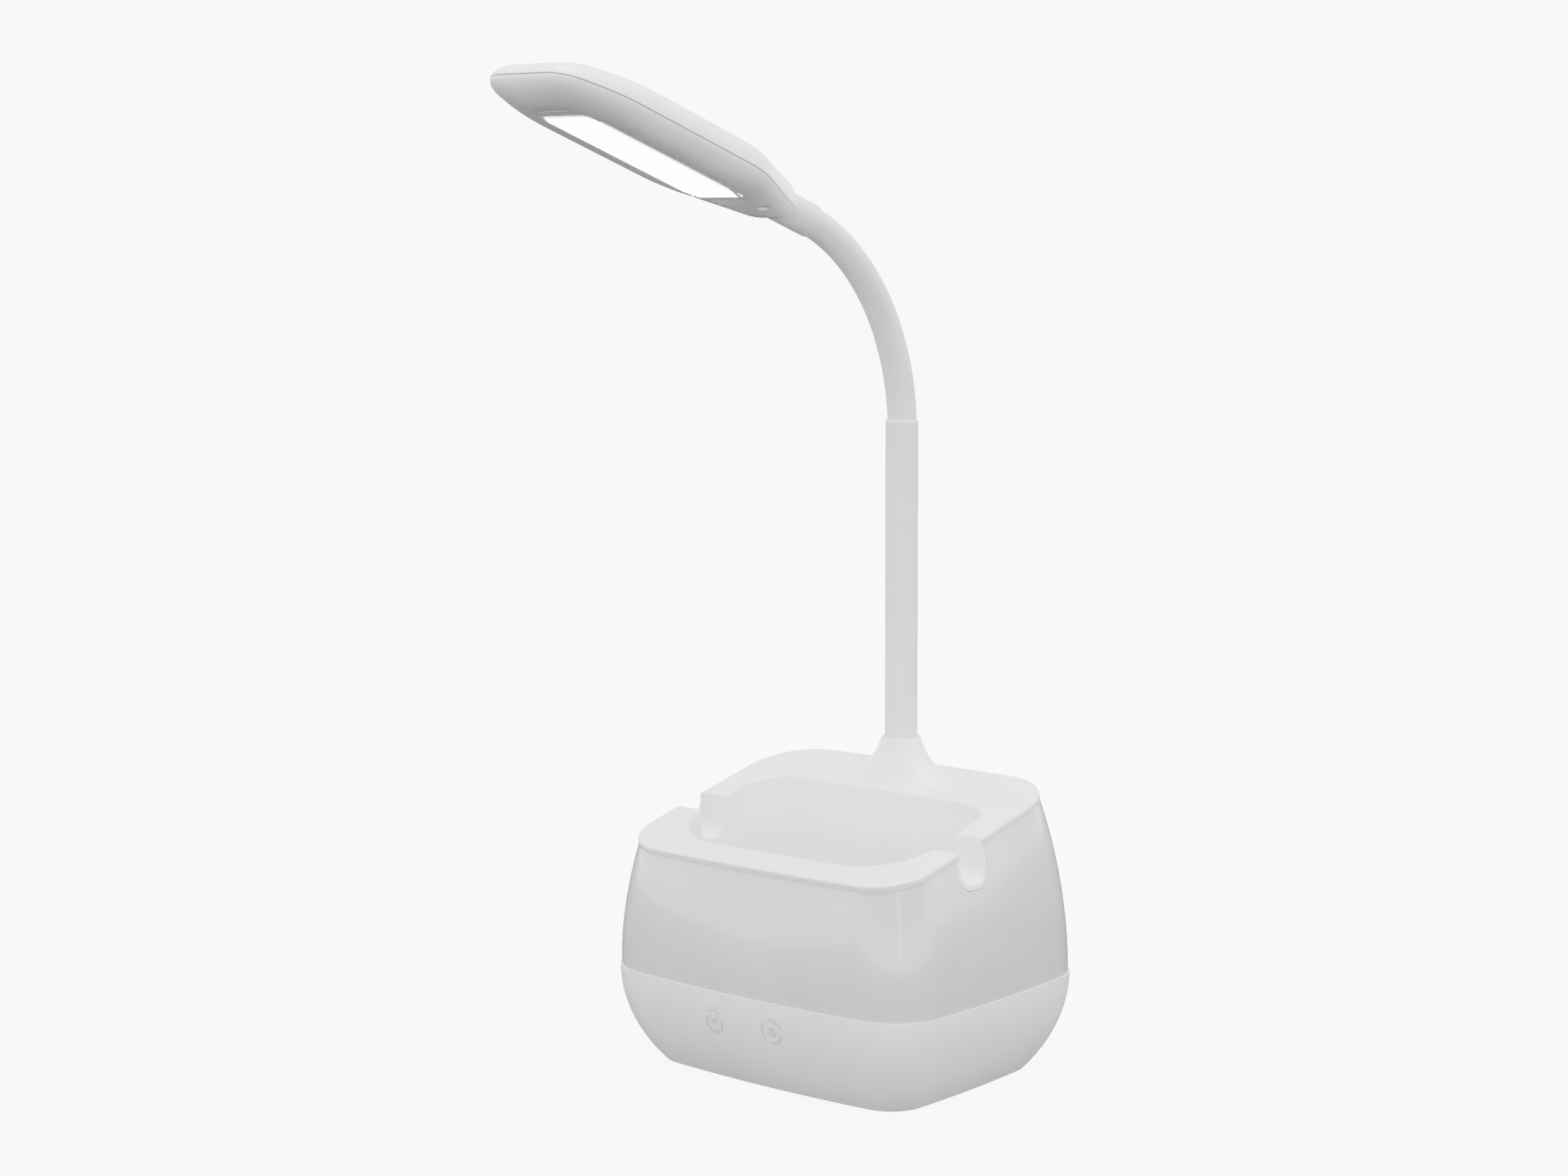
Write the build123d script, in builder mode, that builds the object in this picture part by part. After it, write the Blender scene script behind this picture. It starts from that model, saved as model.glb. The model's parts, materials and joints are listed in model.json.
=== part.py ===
from build123d import *
from math import cos, radians, sin, sqrt, tan
import os

# Desk lamp with a pen tray, a night-light shade and a gooseneck. Millimetres.
# X is right, Y is back, Z is up. The origin is on the resting plane, under the middle of the base.

os.makedirs("parts", exist_ok=True)

# ---------------------------------------------------------------- driving sizes
# General fits
FIT = 0.2                 # gap all round a piece that drops into another
TOUCH = 0.05              # gap round a thread or a pressed pin
WALL = 2.2                # wall of the white housings

# Bowl
BOWL_WIDTH = 146.0
BOWL_DEPTH = 117.0
BOWL_HEIGHT = 36.0
BOWL_FLOOR = 2.6
BOWL_CURVE_IN = 70.8      # the bowl's wall is part of an ellipse: its reach inwards
BOWL_CURVE_DOWN = 59.4    # and its reach downwards from the seam
BOWL_CORNER = 20.5        # corner radius at the seam
BOWL_CORNER_LOSS = 0.45   # corner radius lost for each mm that the wall pulls in
SIDE_CROWN = 520.0        # the long gentle arc of each side, seen from above
BOWL_SECTIONS = 6
BOWL_FOOT_ROUND = 1.2

# Night-light shade
SHADE_RISE = 56.0         # from the seam to the deck, on the middle line
SHADE_WALL = 2.0
SHADE_STEP = 0.5          # the bowl's rim stands out from the shade
DECK_TILT = 13.4          # degrees, the deck rises to the back
DECK_HALF_WIDTH = 65.6
DECK_FRONT = 51.8         # deck's reach forward of the origin
DECK_BACK = 46.8          # and behind it
DECK_CORNER_FRONT = 19.0
DECK_CORNER_BACK = 23.0
SHADE_POWER = 1.8         # how late the shade pulls in on its way up
SHADE_SECTIONS = 5

# Deck and pocket
DECK_THICKNESS = 2.4
DECK_EDGE_ROUND = 1.0
POCKET_HALF_WIDTH = 54.0
POCKET_FRONT = 39.5
POCKET_BACK = 20.0
POCKET_CORNER_FRONT = 24.0
POCKET_CORNER_BACK = 14.0
POCKET_CROWN = 1500.0
POCKET_FLOOR_HEIGHT = 51.0
POCKET_WALL = 1.9
POCKET_RIM_ROUND = 1.2
POCKET_FLOOR_ROUND = 5.0

# U notches in the side walls
NOTCH_Y = -11.5
NOTCH_WIDTH = 13.0
NOTCH_HEIGHT = 78.5       # floor of the notch above the resting plane
NOTCH_ROUND = 5.0
NOTCH_LIP = 1.7

# Collar of the neck
NECK_Y = 34.0
COLLAR_LIP = 1.0          # wall round the sleeve
COLLAR_SWEEP = 21.3       # radius of the flare, to the sides
COLLAR_REACH_Y = 5.2      # how far the flare runs out to the front and back
COLLAR_TOP_SLOPE = 71.5   # degrees, slope of the flare at its top
COLLAR_SEAT = 3.0         # depth that the sleeve sits in the collar
STUD_BELOW_COLLAR = 4.0
FLARE_SLOPES = (58, 45, 33, 22, 11, 0)
FLARE_SINK = 0.6          # foot of the flare, below the deck's face
BOSS_RADIUS = 7.6
BOSS_BOTTOM = 95.0

# Neck
SLEEVE_OUTER = 6.1
SLEEVE_TOP = 235.8
SLEEVE_TOP_ROUND = 1.2
FLEX_OUTER = 5.45
HOSE_OUTER = 3.6
HOSE_BORE = 1.6
HOSE_GAP = 0.3            # between the hose and its sleeve
HINGE_START = 237.2       # height where the neck starts to flex
START_TILT = 4.5          # degrees from upright at that height
HEAD_RISE = 18.6          # degrees, the head points up from level
NECK_BEND_RADIUS = 83.0
LINKS = 10
LINK_GAP = 0.3            # between two links, on the middle line
LINK_BEVEL = 9.7          # degrees, room for two links to bend
STUD_RADIUS = 4.0
STUD_BOTTOM = 86.0
NUT_FLATS = 13.0
NUT_HEIGHT = 4.5
WASHER_RADIUS = 7.4
WASHER_THICKNESS = 1.0

# Head
HEAD_LENGTH = 136.0
HEAD_HALF_WIDTH = 24.8
HEAD_TIP_HALF = 17.5
HEAD_TIP_TAPER = 21.0
HEAD_NECK_START = 3.0
HEAD_NECK_HALF = 7.1
HEAD_NECK_TAPER = 42.7
HEAD_LOWER = 6.4          # underside to parting line
HEAD_UPPER = 9.1          # parting line to top
HEAD_TIP_SOFTEN = 0.62    # corner radius at the tip, as a share of the tip's half width
HEAD_TIP_SHOULDER = 3.1   # shoulder radius behind the tip, as a share of the same
HEAD_NECK_SHOULDER = 45.0
HEAD_NECK_SOFTEN = 0.8
HEAD_NECK_NARROWING = 0.45  # the neck end draws in by this share of what the sides do
HEAD_NECK_LEAST = 1.6
HEAD_TAPER_SHIFT = 0.3    # the tapers move along by this share of what the ends do
HEAD_WALL = 1.8
HEAD_SIDE_ROUND_LOWER = 11.5  # how far the sides curve in below the parting line
HEAD_SIDE_ROUND_UPPER = 9.5
HEAD_TIP_ROUND_LOWER = 15.0
HEAD_TIP_ROUND_UPPER = 28.0
HEAD_NECK_ROUND_LOWER = 17.0
HEAD_NECK_ROUND_UPPER = 5.0
HEAD_SEAM = 0.15          # gap at the parting line
NECK_AXIS_HEIGHT = 7.8    # neck axis above the head's underside
COLLAR_SHOWN = 9.6        # straight part of the neck before the head
COLLAR_BACK = 4.0         # neck collar's reach back over the last link
SLEEVE_END_GAP = 0.5
HEAD_COLLAR_RADIUS = 6.05
HEAD_COLLAR_INSIDE = 8.0
FERRULE_RADIUS = 4.6
FERRULE_LENGTH = 11.0
FERRULE_GAP = 1.0         # between the neck collar's end and the ferrule's wide part
CRADLE_THICKNESS = 3.0

# Light panel in the head
PANEL_START = 35.3        # from the neck end of the head
PANEL_LENGTH = 79.2
PANEL_HALF_WIDTH = 11.3
PANEL_CORNER = 2.5
PANEL_FLANGE = 1.2
PANEL_FLANGE_THICKNESS = 1.0
REFLECTOR_WALL = 1.2
REFLECTOR_HEIGHT = 2.6
LED_BOARD_THICKNESS = 1.0
LED_ROWS = 2
LEDS_PER_ROW = 8
LED_SIZE = 3.2
LED_THICKNESS = 0.8
VENT_START = 29.2
VENT_PITCH = 2.4
VENT_HALF_LENGTH = 7.8
VENT_WIDTH = 0.6
GROOVE_POSITION = 119.3
GROOVE_HALF_LENGTH = 8.0
GROOVE_DEPTH = 0.35
HEAD_SCREW_U = 21.6
HEAD_SCREW_X = 8.6
HEAD_SCREW_HOLE = 2.1
HEAD_BOSS_RADIUS = 3.1
HEAD_SCREW_DEPTH = 2.6    # how deep the screw head sits in its hole
HEAD_SCREW_HEAD = 1.6
HEAD_SCREW_LENGTH = 8.5
HEAD_SHANK = 1.05

# Base internals
PAD_PROUD = 0.5
PAD_THICKNESS = 1.2
PAD_HALF_WIDTH = 51.0
PAD_HALF_DEPTH = 36.0
PAD_CORNER = 9.0
POST_X = 46.0
POST_Y = 27.0
POST_RADIUS = 4.0
POST_TOP = 20.0
SCREW_RADIUS = 1.5
SCREW_HEAD_RADIUS = 2.75
SCREW_HEAD_HEIGHT = 1.8
BASE_SCREW_BITE = 8.0     # thread in the chassis plate
BOARD_SCREW_BITE = 6.0
TRAY_SCREW_BITE = 9.0
SCREW_TIP_ROOM = 1.0
CHASSIS_BORE = 12.0
CHASSIS_THICKNESS = 2.5
RIB_HEIGHT = 3.0
RIB_THICKNESS = 1.4
TRAY_POST_X = 34.0
TRAY_POST_FRONT = -24.0
TRAY_POST_BACK = 8.0
WEIGHT_WIDTH = 76.0
WEIGHT_FRONT = -13.0
WEIGHT_BACK = 27.0
WEIGHT_THICKNESS = 9.0
WEIGHT_BOLT_X = 28.0
WEIGHT_BOSS_RADIUS = 3.2
WEIGHT_CHAMFER = 3.0
WEIGHT_SCREW_LENGTH = 8.0
WEIGHT_SCREW_HEAD = 5.2
CELL_RADIUS = 9.2
CELL_LENGTH = 65.0
CELL_Y = -27.0
CELL_ROUND = 0.8
CELL_CAP_RADIUS = 3.0
CELL_CAP_HEIGHT = 1.0
CELL_SADDLE = 2.0
SADDLE_THICKNESS = 4.0
SADDLE_X = 22.5
HOLDER_LENGTH = 61.0
HOLDER_DEPTH = 14.7
BOARD_WIDTH = 60.0
BOARD_DEPTH = 20.5
BOARD_FROM_BACK = 7.5     # from the bowl's back to the board's edge, at the seam
BOARD_HEIGHT = 18.0
BOARD_THICKNESS = 1.6
BOARD_SCREW_X = 24.0
BOARD_SCREW_IN = 4.5      # screws, in from the board's front edge
BOARD_POST_RADIUS = 3.0
CHIP_X = 12.0
CHIP_BEHIND_SCREWS = 3.0
CHIP_WIDTH = 6.0
CHIP_DEPTH = 5.0
CHIP_HEIGHT = 2.0
CAPACITOR_RADIUS = 2.5
CAPACITOR_HEIGHT = 7.0
INLET_WIDTH = 9.0
INLET_HEIGHT = 3.4
INLET_LENGTH = 7.6
INLET_PAST_BOARD = 2.2
INLET_SHELL = 0.35
INLET_BACK = 1.6
INLET_TONGUE_WIDTH = 6.4
INLET_TONGUE_THICKNESS = 0.7
TOUCH_X = 13.6
TOUCH_Z = 26.5
TOUCH_PAD_RADIUS = 6.0
TOUCH_PAD_THICKNESS = 0.8
TOUCH_LEAN = 1.7          # how far the wall leans in over a pad's radius
TOUCH_BOARD_WIDTH = 50.0
TOUCH_BOARD_THICKNESS = 1.2
TOUCH_BOARD_DROP = 15.0
TOUCH_BOARD_GROOVE = 0.8
NIGHT_BOARD_X = 30.0
NIGHT_BOARD_Y = 40.0
NIGHT_BOARD_WIDTH = 12.0
NIGHT_BOARD_THICKNESS = 1.2
NIGHT_LEDS_LONG = 5

# ---------------------------------------------------------------- worked out from them
SEAM_Z = PAD_PROUD + BOWL_HEIGHT
FLOOR_Z = PAD_PROUD + BOWL_FLOOR
BOARD_BACK = BOWL_DEPTH / 2 - BOARD_FROM_BACK
BOARD_FRONT = BOARD_BACK - BOARD_DEPTH
BOARD_SCREW_Y = BOARD_FRONT + BOARD_SCREW_IN
DECK_SLOPE = tan(radians(DECK_TILT))
FLEX_INNER = HOSE_OUTER + HOSE_GAP
CHASSIS_BOTTOM = SEAM_Z - CHASSIS_THICKNESS
POCKET_UNDER = POCKET_FLOOR_HEIGHT - POCKET_WALL
END_TILT = 90 - HEAD_RISE


def deck_height(y):
    """Height of the shade's top edge, which is the deck's underside."""
    return SEAM_Z + SHADE_RISE + DECK_SLOPE * y


FLARE_BASE = deck_height(NECK_Y) + DECK_THICKNESS
COLLAR_TOP = FLARE_BASE + COLLAR_SWEEP * (1 - cos(radians(COLLAR_TOP_SLOPE)))


# ---------------------------------------------------------------- outlines
def corner_arc(half_width, reach, side_crown, end_crown, radius):
    """Tangent corner between an end arc and a side arc, as three points in the first quadrant."""
    end_centre = Vector(0, reach - end_crown)
    side_centre = Vector(half_width - side_crown, 0)
    to_end = end_crown - radius
    to_side = side_crown - radius
    between = side_centre - end_centre
    along = (to_end**2 - to_side**2 + between.length**2) / (2 * between.length)
    across = sqrt(to_end**2 - along**2)
    direction = between.normalized()
    centre = end_centre + direction * along + Vector(direction.Y, -direction.X) * across
    on_end = end_centre + (centre - end_centre).normalized() * end_crown
    on_side = side_centre + (centre - side_centre).normalized() * side_crown
    outwards = (on_end - centre + on_side - centre).normalized()
    return on_end, centre + outwards * radius, on_side


def crowned_outline(half_width, front, back, crown, corner_front, corner_back):
    """Face with four gently crowned sides and tangent corner arcs."""
    middle = (back - front) / 2
    reach = (front + back) / 2
    corners = []
    for x_sign, y_sign, radius in ((1, -1, corner_front), (1, 1, corner_back),
                                   (-1, 1, corner_back), (-1, -1, corner_front)):
        points = corner_arc(half_width, reach, crown, crown, radius)
        corners.append([(p.X * x_sign, middle + p.Y * y_sign) for p in points])
    front_right, back_right, back_left, front_left = corners
    with BuildLine() as outline:
        ThreePointArc(front_left[0], (0, -front), front_right[0])
        ThreePointArc(*front_right)
        ThreePointArc(front_right[2], (half_width, middle), back_right[2])
        ThreePointArc(*reversed(back_right))
        ThreePointArc(back_right[0], (0, back), back_left[0])
        ThreePointArc(*back_left)
        ThreePointArc(back_left[2], (-half_width, middle), front_left[2])
        ThreePointArc(*reversed(front_left))
    make_face(outline.edges())


def bowl_outline(depth, inset=0.0):
    """The bowl's plan at a depth below the seam."""
    pull = BOWL_CURVE_IN * (1 - sqrt(1 - (depth / BOWL_CURVE_DOWN) ** 2))
    half_depth = BOWL_DEPTH / 2 - pull - inset
    corner = BOWL_CORNER - BOWL_CORNER_LOSS * pull - inset
    crowned_outline(BOWL_WIDTH / 2 - pull - inset, half_depth, half_depth, SIDE_CROWN, corner, corner)


def bowl_body(bottom, top, inset=0.0):
    """The bowl's outer shape, or its inside with an inset, between two heights."""
    with BuildPart() as body:
        for step in range(BOWL_SECTIONS + 1):
            height = bottom + (top - bottom) * step / BOWL_SECTIONS
            with BuildSketch(Plane.XY.offset(height)):
                bowl_outline(max(SEAM_Z - height, 0), inset)
        loft()
    return body.part


def shade_plane(share):
    """Plane of the shade's section: level at the seam, tilted with the deck at the top."""
    tilt = radians(DECK_TILT) * share
    height = SEAM_Z + SHADE_RISE * tan(tilt) / DECK_SLOPE
    return Plane(origin=(0, 0, height), x_dir=(1, 0, 0), z_dir=(0, -sin(tilt), cos(tilt)))


def shade_outline(share, inset=0.0):
    """The shade's plan in its own section plane, from the seam (0) to the deck (1)."""
    late = share**SHADE_POWER
    stretch = 1 / cos(radians(DECK_TILT) * share)
    seam_half = BOWL_WIDTH / 2 - SHADE_STEP
    seam_depth = BOWL_DEPTH / 2 - SHADE_STEP
    half_width = seam_half + (DECK_HALF_WIDTH - seam_half) * late - inset
    front = seam_depth + (DECK_FRONT - seam_depth) * late - inset
    back = seam_depth + (DECK_BACK - seam_depth) * late - inset
    corner_front = BOWL_CORNER + (DECK_CORNER_FRONT - BOWL_CORNER) * share - inset
    corner_back = BOWL_CORNER + (DECK_CORNER_BACK - BOWL_CORNER) * share - inset
    crown = 1 / ((1 - share) / SIDE_CROWN + share / POCKET_CROWN)
    crowned_outline(half_width, front * stretch, back * stretch, crown, corner_front, corner_back)


def shade_body(inset=0.0):
    with BuildPart() as body:
        for step in range(SHADE_SECTIONS + 1):
            share = step / SHADE_SECTIONS
            with BuildSketch(shade_plane(share)):
                shade_outline(share, inset)
        loft()
    return body.part


def pocket_outline(grow):
    crowned_outline(POCKET_HALF_WIDTH + grow, POCKET_FRONT + grow, POCKET_BACK + grow, POCKET_CROWN,
                    POCKET_CORNER_FRONT + grow, POCKET_CORNER_BACK + grow)


def pocket_body(bottom, grow):
    """Straight walled block of the pocket, from a height up to well above the deck."""
    with BuildPart() as body:
        with BuildSketch(Plane.XY.offset(bottom)):
            pocket_outline(grow)
        extrude(amount=COLLAR_TOP - bottom)
    return body.part


def notch_outline(grow):
    """U section of a side notch, seen along X, open at the top."""
    half = NOTCH_WIDTH / 2 + grow
    floor = NOTCH_HEIGHT - grow
    top = deck_height(NOTCH_Y) + NOTCH_WIDTH
    radius = NOTCH_ROUND + grow
    with BuildLine() as outline:
        FilletPolyline((NOTCH_Y - half, top), (NOTCH_Y - half, floor), (NOTCH_Y + half, floor),
                       (NOTCH_Y + half, top), radius=radius)
        Line((NOTCH_Y + half, top), (NOTCH_Y - half, top))
    make_face(outline.edges())


def above_deck(offset=0.0):
    """Everything over a plane that lies above the deck's underside by the offset."""
    with BuildPart() as body:
        with BuildSketch(shade_plane(1).offset(offset)):
            Rectangle(3 * DECK_HALF_WIDTH, 3 * DECK_HALF_WIDTH)
        extrude(amount=COLLAR_TOP)
    return body.part


def cone_headed_screw(head_z, length, up=1):
    """Screw profile turned round Z: its head's outer face at head_z, its shank going up or down."""
    with BuildLine() as outline:
        Polyline((0, head_z), (SCREW_HEAD_RADIUS, head_z),
                 (SCREW_HEAD_RADIUS, head_z + up * SCREW_HEAD_HEIGHT),
                 (SCREW_RADIUS, head_z + up * SCREW_HEAD_HEIGHT),
                 (SCREW_RADIUS, head_z + up * length), (0, head_z + up * length), close=True)
    make_face(outline.edges())


def corner_spots(x, y_low, y_high):
    return [(sx * x, y) for sx in (-1, 1) for y in (y_low, y_high)]


# ---------------------------------------------------------------- bowl and what is in it
POSTS = corner_spots(POST_X, -POST_Y, POST_Y)
TRAY_POSTS = corner_spots(TRAY_POST_X, TRAY_POST_FRONT, TRAY_POST_BACK)
WEIGHT_BOLTS = [(-WEIGHT_BOLT_X, (WEIGHT_FRONT + WEIGHT_BACK) / 2),
                (WEIGHT_BOLT_X, (WEIGHT_FRONT + WEIGHT_BACK) / 2)]
BOARD_SPOTS = [(-BOARD_SCREW_X, BOARD_SCREW_Y), (BOARD_SCREW_X, BOARD_SCREW_Y)]
WEIGHT_TOP = FLOOR_Z + WEIGHT_THICKNESS
PAD_TOP = PAD_THICKNESS
BASE_SCREW_LENGTH = POST_TOP - PAD_TOP + BASE_SCREW_BITE

with BuildPart() as base_bowl:
    add(bowl_body(PAD_PROUD, SEAM_Z))
    fillet(base_bowl.edges().group_by(Axis.Z)[0], BOWL_FOOT_ROUND)
    add(bowl_body(FLOOR_Z, SEAM_Z, WALL), mode=Mode.SUBTRACT)
    # posts for the base screws, bosses for the weight and for the board
    with BuildSketch(Plane.XY.offset(FLOOR_Z)):
        with Locations(*POSTS):
            Circle(POST_RADIUS)
    extrude(amount=POST_TOP - FLOOR_Z)
    with BuildSketch(Plane.XY.offset(FLOOR_Z)):
        with Locations(*WEIGHT_BOLTS):
            Circle(WEIGHT_BOSS_RADIUS)
    extrude(amount=WEIGHT_THICKNESS - FIT)
    with BuildSketch(Plane.XY.offset(FLOOR_Z)):
        with Locations(*BOARD_SPOTS):
            Circle(BOARD_POST_RADIUS)
    extrude(amount=BOARD_HEIGHT - FLOOR_Z)
    # recess for the pad
    with BuildSketch(Plane.XY):
        RectangleRounded(2 * (PAD_HALF_WIDTH + FIT), 2 * (PAD_HALF_DEPTH + FIT), PAD_CORNER)
    extrude(amount=PAD_TOP, mode=Mode.SUBTRACT)
    # screw holes: heads from below in the posts, threads for weight and board
    with BuildSketch(Plane.XY):
        with Locations(*POSTS):
            Circle(SCREW_RADIUS + FIT)
    extrude(amount=POST_TOP, mode=Mode.SUBTRACT)
    with BuildSketch(Plane.XY.offset(PAD_TOP)):
        with Locations(*POSTS):
            Circle(SCREW_HEAD_RADIUS + FIT)
    extrude(amount=SCREW_HEAD_HEIGHT, mode=Mode.SUBTRACT)
    with BuildSketch(Plane.XY.offset(FLOOR_Z)):
        with Locations(*WEIGHT_BOLTS, *BOARD_SPOTS):
            Circle(SCREW_RADIUS + TOUCH)
    extrude(amount=BOARD_HEIGHT, mode=Mode.SUBTRACT)
    # opening of the inlet in the back wall
    with BuildSketch(Plane.XZ.offset(-BOARD_FRONT)):
        with Locations((0, BOARD_HEIGHT + BOARD_THICKNESS + INLET_HEIGHT / 2)):
            RectangleRounded(INLET_WIDTH + 2 * FIT, INLET_HEIGHT + 2 * FIT, INLET_HEIGHT / 2)
    extrude(amount=-BOWL_DEPTH / 2, mode=Mode.SUBTRACT)
base_bowl.part.label = "base_bowl"
export_step(base_bowl.part, "parts/base_bowl.step")

with BuildPart() as base_pad:
    with BuildSketch():
        RectangleRounded(2 * PAD_HALF_WIDTH, 2 * PAD_HALF_DEPTH, PAD_CORNER)
    extrude(amount=PAD_THICKNESS)
base_pad.part.label = "base_pad"
export_step(base_pad.part, "parts/base_pad.step")

with BuildPart() as base_screws:
    for x, y in POSTS:
        with BuildSketch(Plane(origin=(x, y, 0), x_dir=(1, 0, 0), z_dir=(0, -1, 0))):
            cone_headed_screw(PAD_TOP, BASE_SCREW_LENGTH)
        revolve(axis=Axis((x, y, 0), (0, 0, 1)))
base_screws.part.label = "base_screws"
export_step(base_screws.part, "parts/base_screws.step")

with BuildPart() as counterweight:
    with BuildSketch(Plane.XY.offset(FLOOR_Z)):
        with Locations((0, (WEIGHT_FRONT + WEIGHT_BACK) / 2)):
            Rectangle(WEIGHT_WIDTH, WEIGHT_BACK - WEIGHT_FRONT)
        with Locations(*WEIGHT_BOLTS):
            Circle(WEIGHT_BOSS_RADIUS + FIT, mode=Mode.SUBTRACT)
    extrude(amount=WEIGHT_THICKNESS)
    for end in (0, -1):
        chamfer(counterweight.edges().filter_by(Axis.Z).group_by(Axis.X)[end], WEIGHT_CHAMFER)
counterweight.part.label = "counterweight"
export_step(counterweight.part, "parts/counterweight.step")

with BuildPart() as weight_screws:
    for x, y in WEIGHT_BOLTS:
        with BuildSketch(Plane(origin=(x, y, 0), x_dir=(1, 0, 0), z_dir=(0, -1, 0))):
            with BuildLine():
                head_top = WEIGHT_TOP + SCREW_HEAD_HEIGHT
                Polyline((0, head_top), (WEIGHT_SCREW_HEAD, head_top),
                         (WEIGHT_SCREW_HEAD, WEIGHT_TOP), (SCREW_RADIUS, WEIGHT_TOP),
                         (SCREW_RADIUS, WEIGHT_TOP - WEIGHT_SCREW_LENGTH),
                         (0, WEIGHT_TOP - WEIGHT_SCREW_LENGTH), close=True)
            make_face()
        revolve(axis=Axis((x, y, 0), (0, 0, 1)))
weight_screws.part.label = "weight_screws"
export_step(weight_screws.part, "parts/weight_screws.step")

CELL_Z = FLOOR_Z + CELL_SADDLE + CELL_RADIUS
with BuildPart() as battery_cell:
    with BuildSketch(Plane.YZ.offset(-CELL_LENGTH / 2)):
        with Locations((CELL_Y, CELL_Z)):
            Circle(CELL_RADIUS)
    extrude(amount=CELL_LENGTH)
    fillet(battery_cell.edges(), CELL_ROUND)
    with BuildSketch(Plane.YZ.offset(CELL_LENGTH / 2)):
        with Locations((CELL_Y, CELL_Z)):
            Circle(CELL_CAP_RADIUS)
    extrude(amount=CELL_CAP_HEIGHT)
battery_cell.part.label = "battery_cell"
export_step(battery_cell.part, "parts/battery_cell.step")

with BuildPart() as battery_holder:
    # a floor strip with two saddles that cradle the cell
    with BuildSketch(Plane.XY.offset(FLOOR_Z)):
        with Locations((0, CELL_Y)):
            Rectangle(HOLDER_LENGTH, HOLDER_DEPTH)
    extrude(amount=CELL_SADDLE - FIT)
    for side in (-1, 1):
        with BuildSketch(Plane.YZ.offset(side * SADDLE_X - SADDLE_THICKNESS / 2)):
            with Locations((CELL_Y, FLOOR_Z + CELL_RADIUS / 2 + CELL_SADDLE / 2)):
                Rectangle(HOLDER_DEPTH, CELL_RADIUS + CELL_SADDLE)
            with Locations((CELL_Y, CELL_Z)):
                Circle(CELL_RADIUS + TOUCH, mode=Mode.SUBTRACT)
        extrude(amount=SADDLE_THICKNESS)
battery_holder.part.label = "battery_holder"
export_step(battery_holder.part, "parts/battery_holder.step")

BOARD_TOP = BOARD_HEIGHT + BOARD_THICKNESS
with BuildPart() as main_board:
    with BuildSketch(Plane.XY.offset(BOARD_HEIGHT)):
        with Locations((0, (BOARD_FRONT + BOARD_BACK) / 2)):
            Rectangle(BOARD_WIDTH, BOARD_DEPTH)
        with Locations(*BOARD_SPOTS):
            Circle(SCREW_RADIUS + FIT, mode=Mode.SUBTRACT)
    extrude(amount=BOARD_THICKNESS)
    # two chips and a capacitor between them
    with BuildSketch(Plane.XY.offset(BOARD_TOP)):
        with Locations(*[(side * CHIP_X, BOARD_SCREW_Y + CHIP_BEHIND_SCREWS) for side in (-1, 1)]):
            Rectangle(CHIP_WIDTH, CHIP_DEPTH)
    extrude(amount=CHIP_HEIGHT)
    with BuildSketch(Plane.XY.offset(BOARD_TOP)):
        with Locations((0, BOARD_SCREW_Y)):
            Circle(CAPACITOR_RADIUS)
    extrude(amount=CAPACITOR_HEIGHT)
main_board.part.label = "main_board"
export_step(main_board.part, "parts/main_board.step")

with BuildPart() as board_screws:
    for x, y in BOARD_SPOTS:
        with BuildSketch(Plane(origin=(x, y, 0), x_dir=(1, 0, 0), z_dir=(0, -1, 0))):
            cone_headed_screw(BOARD_TOP + SCREW_HEAD_HEIGHT,
                              SCREW_HEAD_HEIGHT + BOARD_THICKNESS + BOARD_SCREW_BITE, -1)
        revolve(axis=Axis((x, y, 0), (0, 0, 1)))
board_screws.part.label = "board_screws"
export_step(board_screws.part, "parts/board_screws.step")

INLET_MOUTH_Y = BOARD_BACK + INLET_PAST_BOARD
with BuildPart() as usb_inlet:
    with BuildSketch(Plane.XZ.offset(-(INLET_MOUTH_Y - INLET_LENGTH))):
        with Locations((0, BOARD_TOP + INLET_HEIGHT / 2)):
            RectangleRounded(INLET_WIDTH, INLET_HEIGHT, INLET_HEIGHT / 2 - TOUCH)
    extrude(amount=-INLET_LENGTH)
    with BuildSketch(Plane.XZ.offset(-INLET_MOUTH_Y)):
        with Locations((0, BOARD_TOP + INLET_HEIGHT / 2)):
            RectangleRounded(INLET_WIDTH - 2 * INLET_SHELL, INLET_HEIGHT - 2 * INLET_SHELL,
                             INLET_HEIGHT / 2 - INLET_SHELL - TOUCH)
            Rectangle(INLET_TONGUE_WIDTH, INLET_TONGUE_THICKNESS, mode=Mode.SUBTRACT)
    extrude(amount=INLET_LENGTH - INLET_BACK, mode=Mode.SUBTRACT)
usb_inlet.part.label = "usb_inlet"
export_step(usb_inlet.part, "parts/usb_inlet.step")

TOUCH_DEPTH = SEAM_Z - TOUCH_Z
TOUCH_PULL = BOWL_CURVE_IN * (1 - sqrt(1 - (TOUCH_DEPTH / BOWL_CURVE_DOWN) ** 2))
TOUCH_INNER_Y = -(BOWL_DEPTH / 2 - TOUCH_PULL - WALL - TOUCH_X**2 / (2 * SIDE_CROWN))
TOUCH_PAD_Y = TOUCH_INNER_Y + TOUCH_LEAN + FIT
TOUCH_BOARD_Y = TOUCH_PAD_Y + TOUCH_PAD_THICKNESS
with BuildPart() as touch_pads:
    with BuildSketch(Plane.XZ.offset(-TOUCH_PAD_Y)):
        with Locations((-TOUCH_X, TOUCH_Z), (TOUCH_X, TOUCH_Z)):
            Circle(TOUCH_PAD_RADIUS)
    extrude(amount=-TOUCH_PAD_THICKNESS)
touch_pads.part.label = "touch_pads"
export_step(touch_pads.part, "parts/touch_pads.step")

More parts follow.
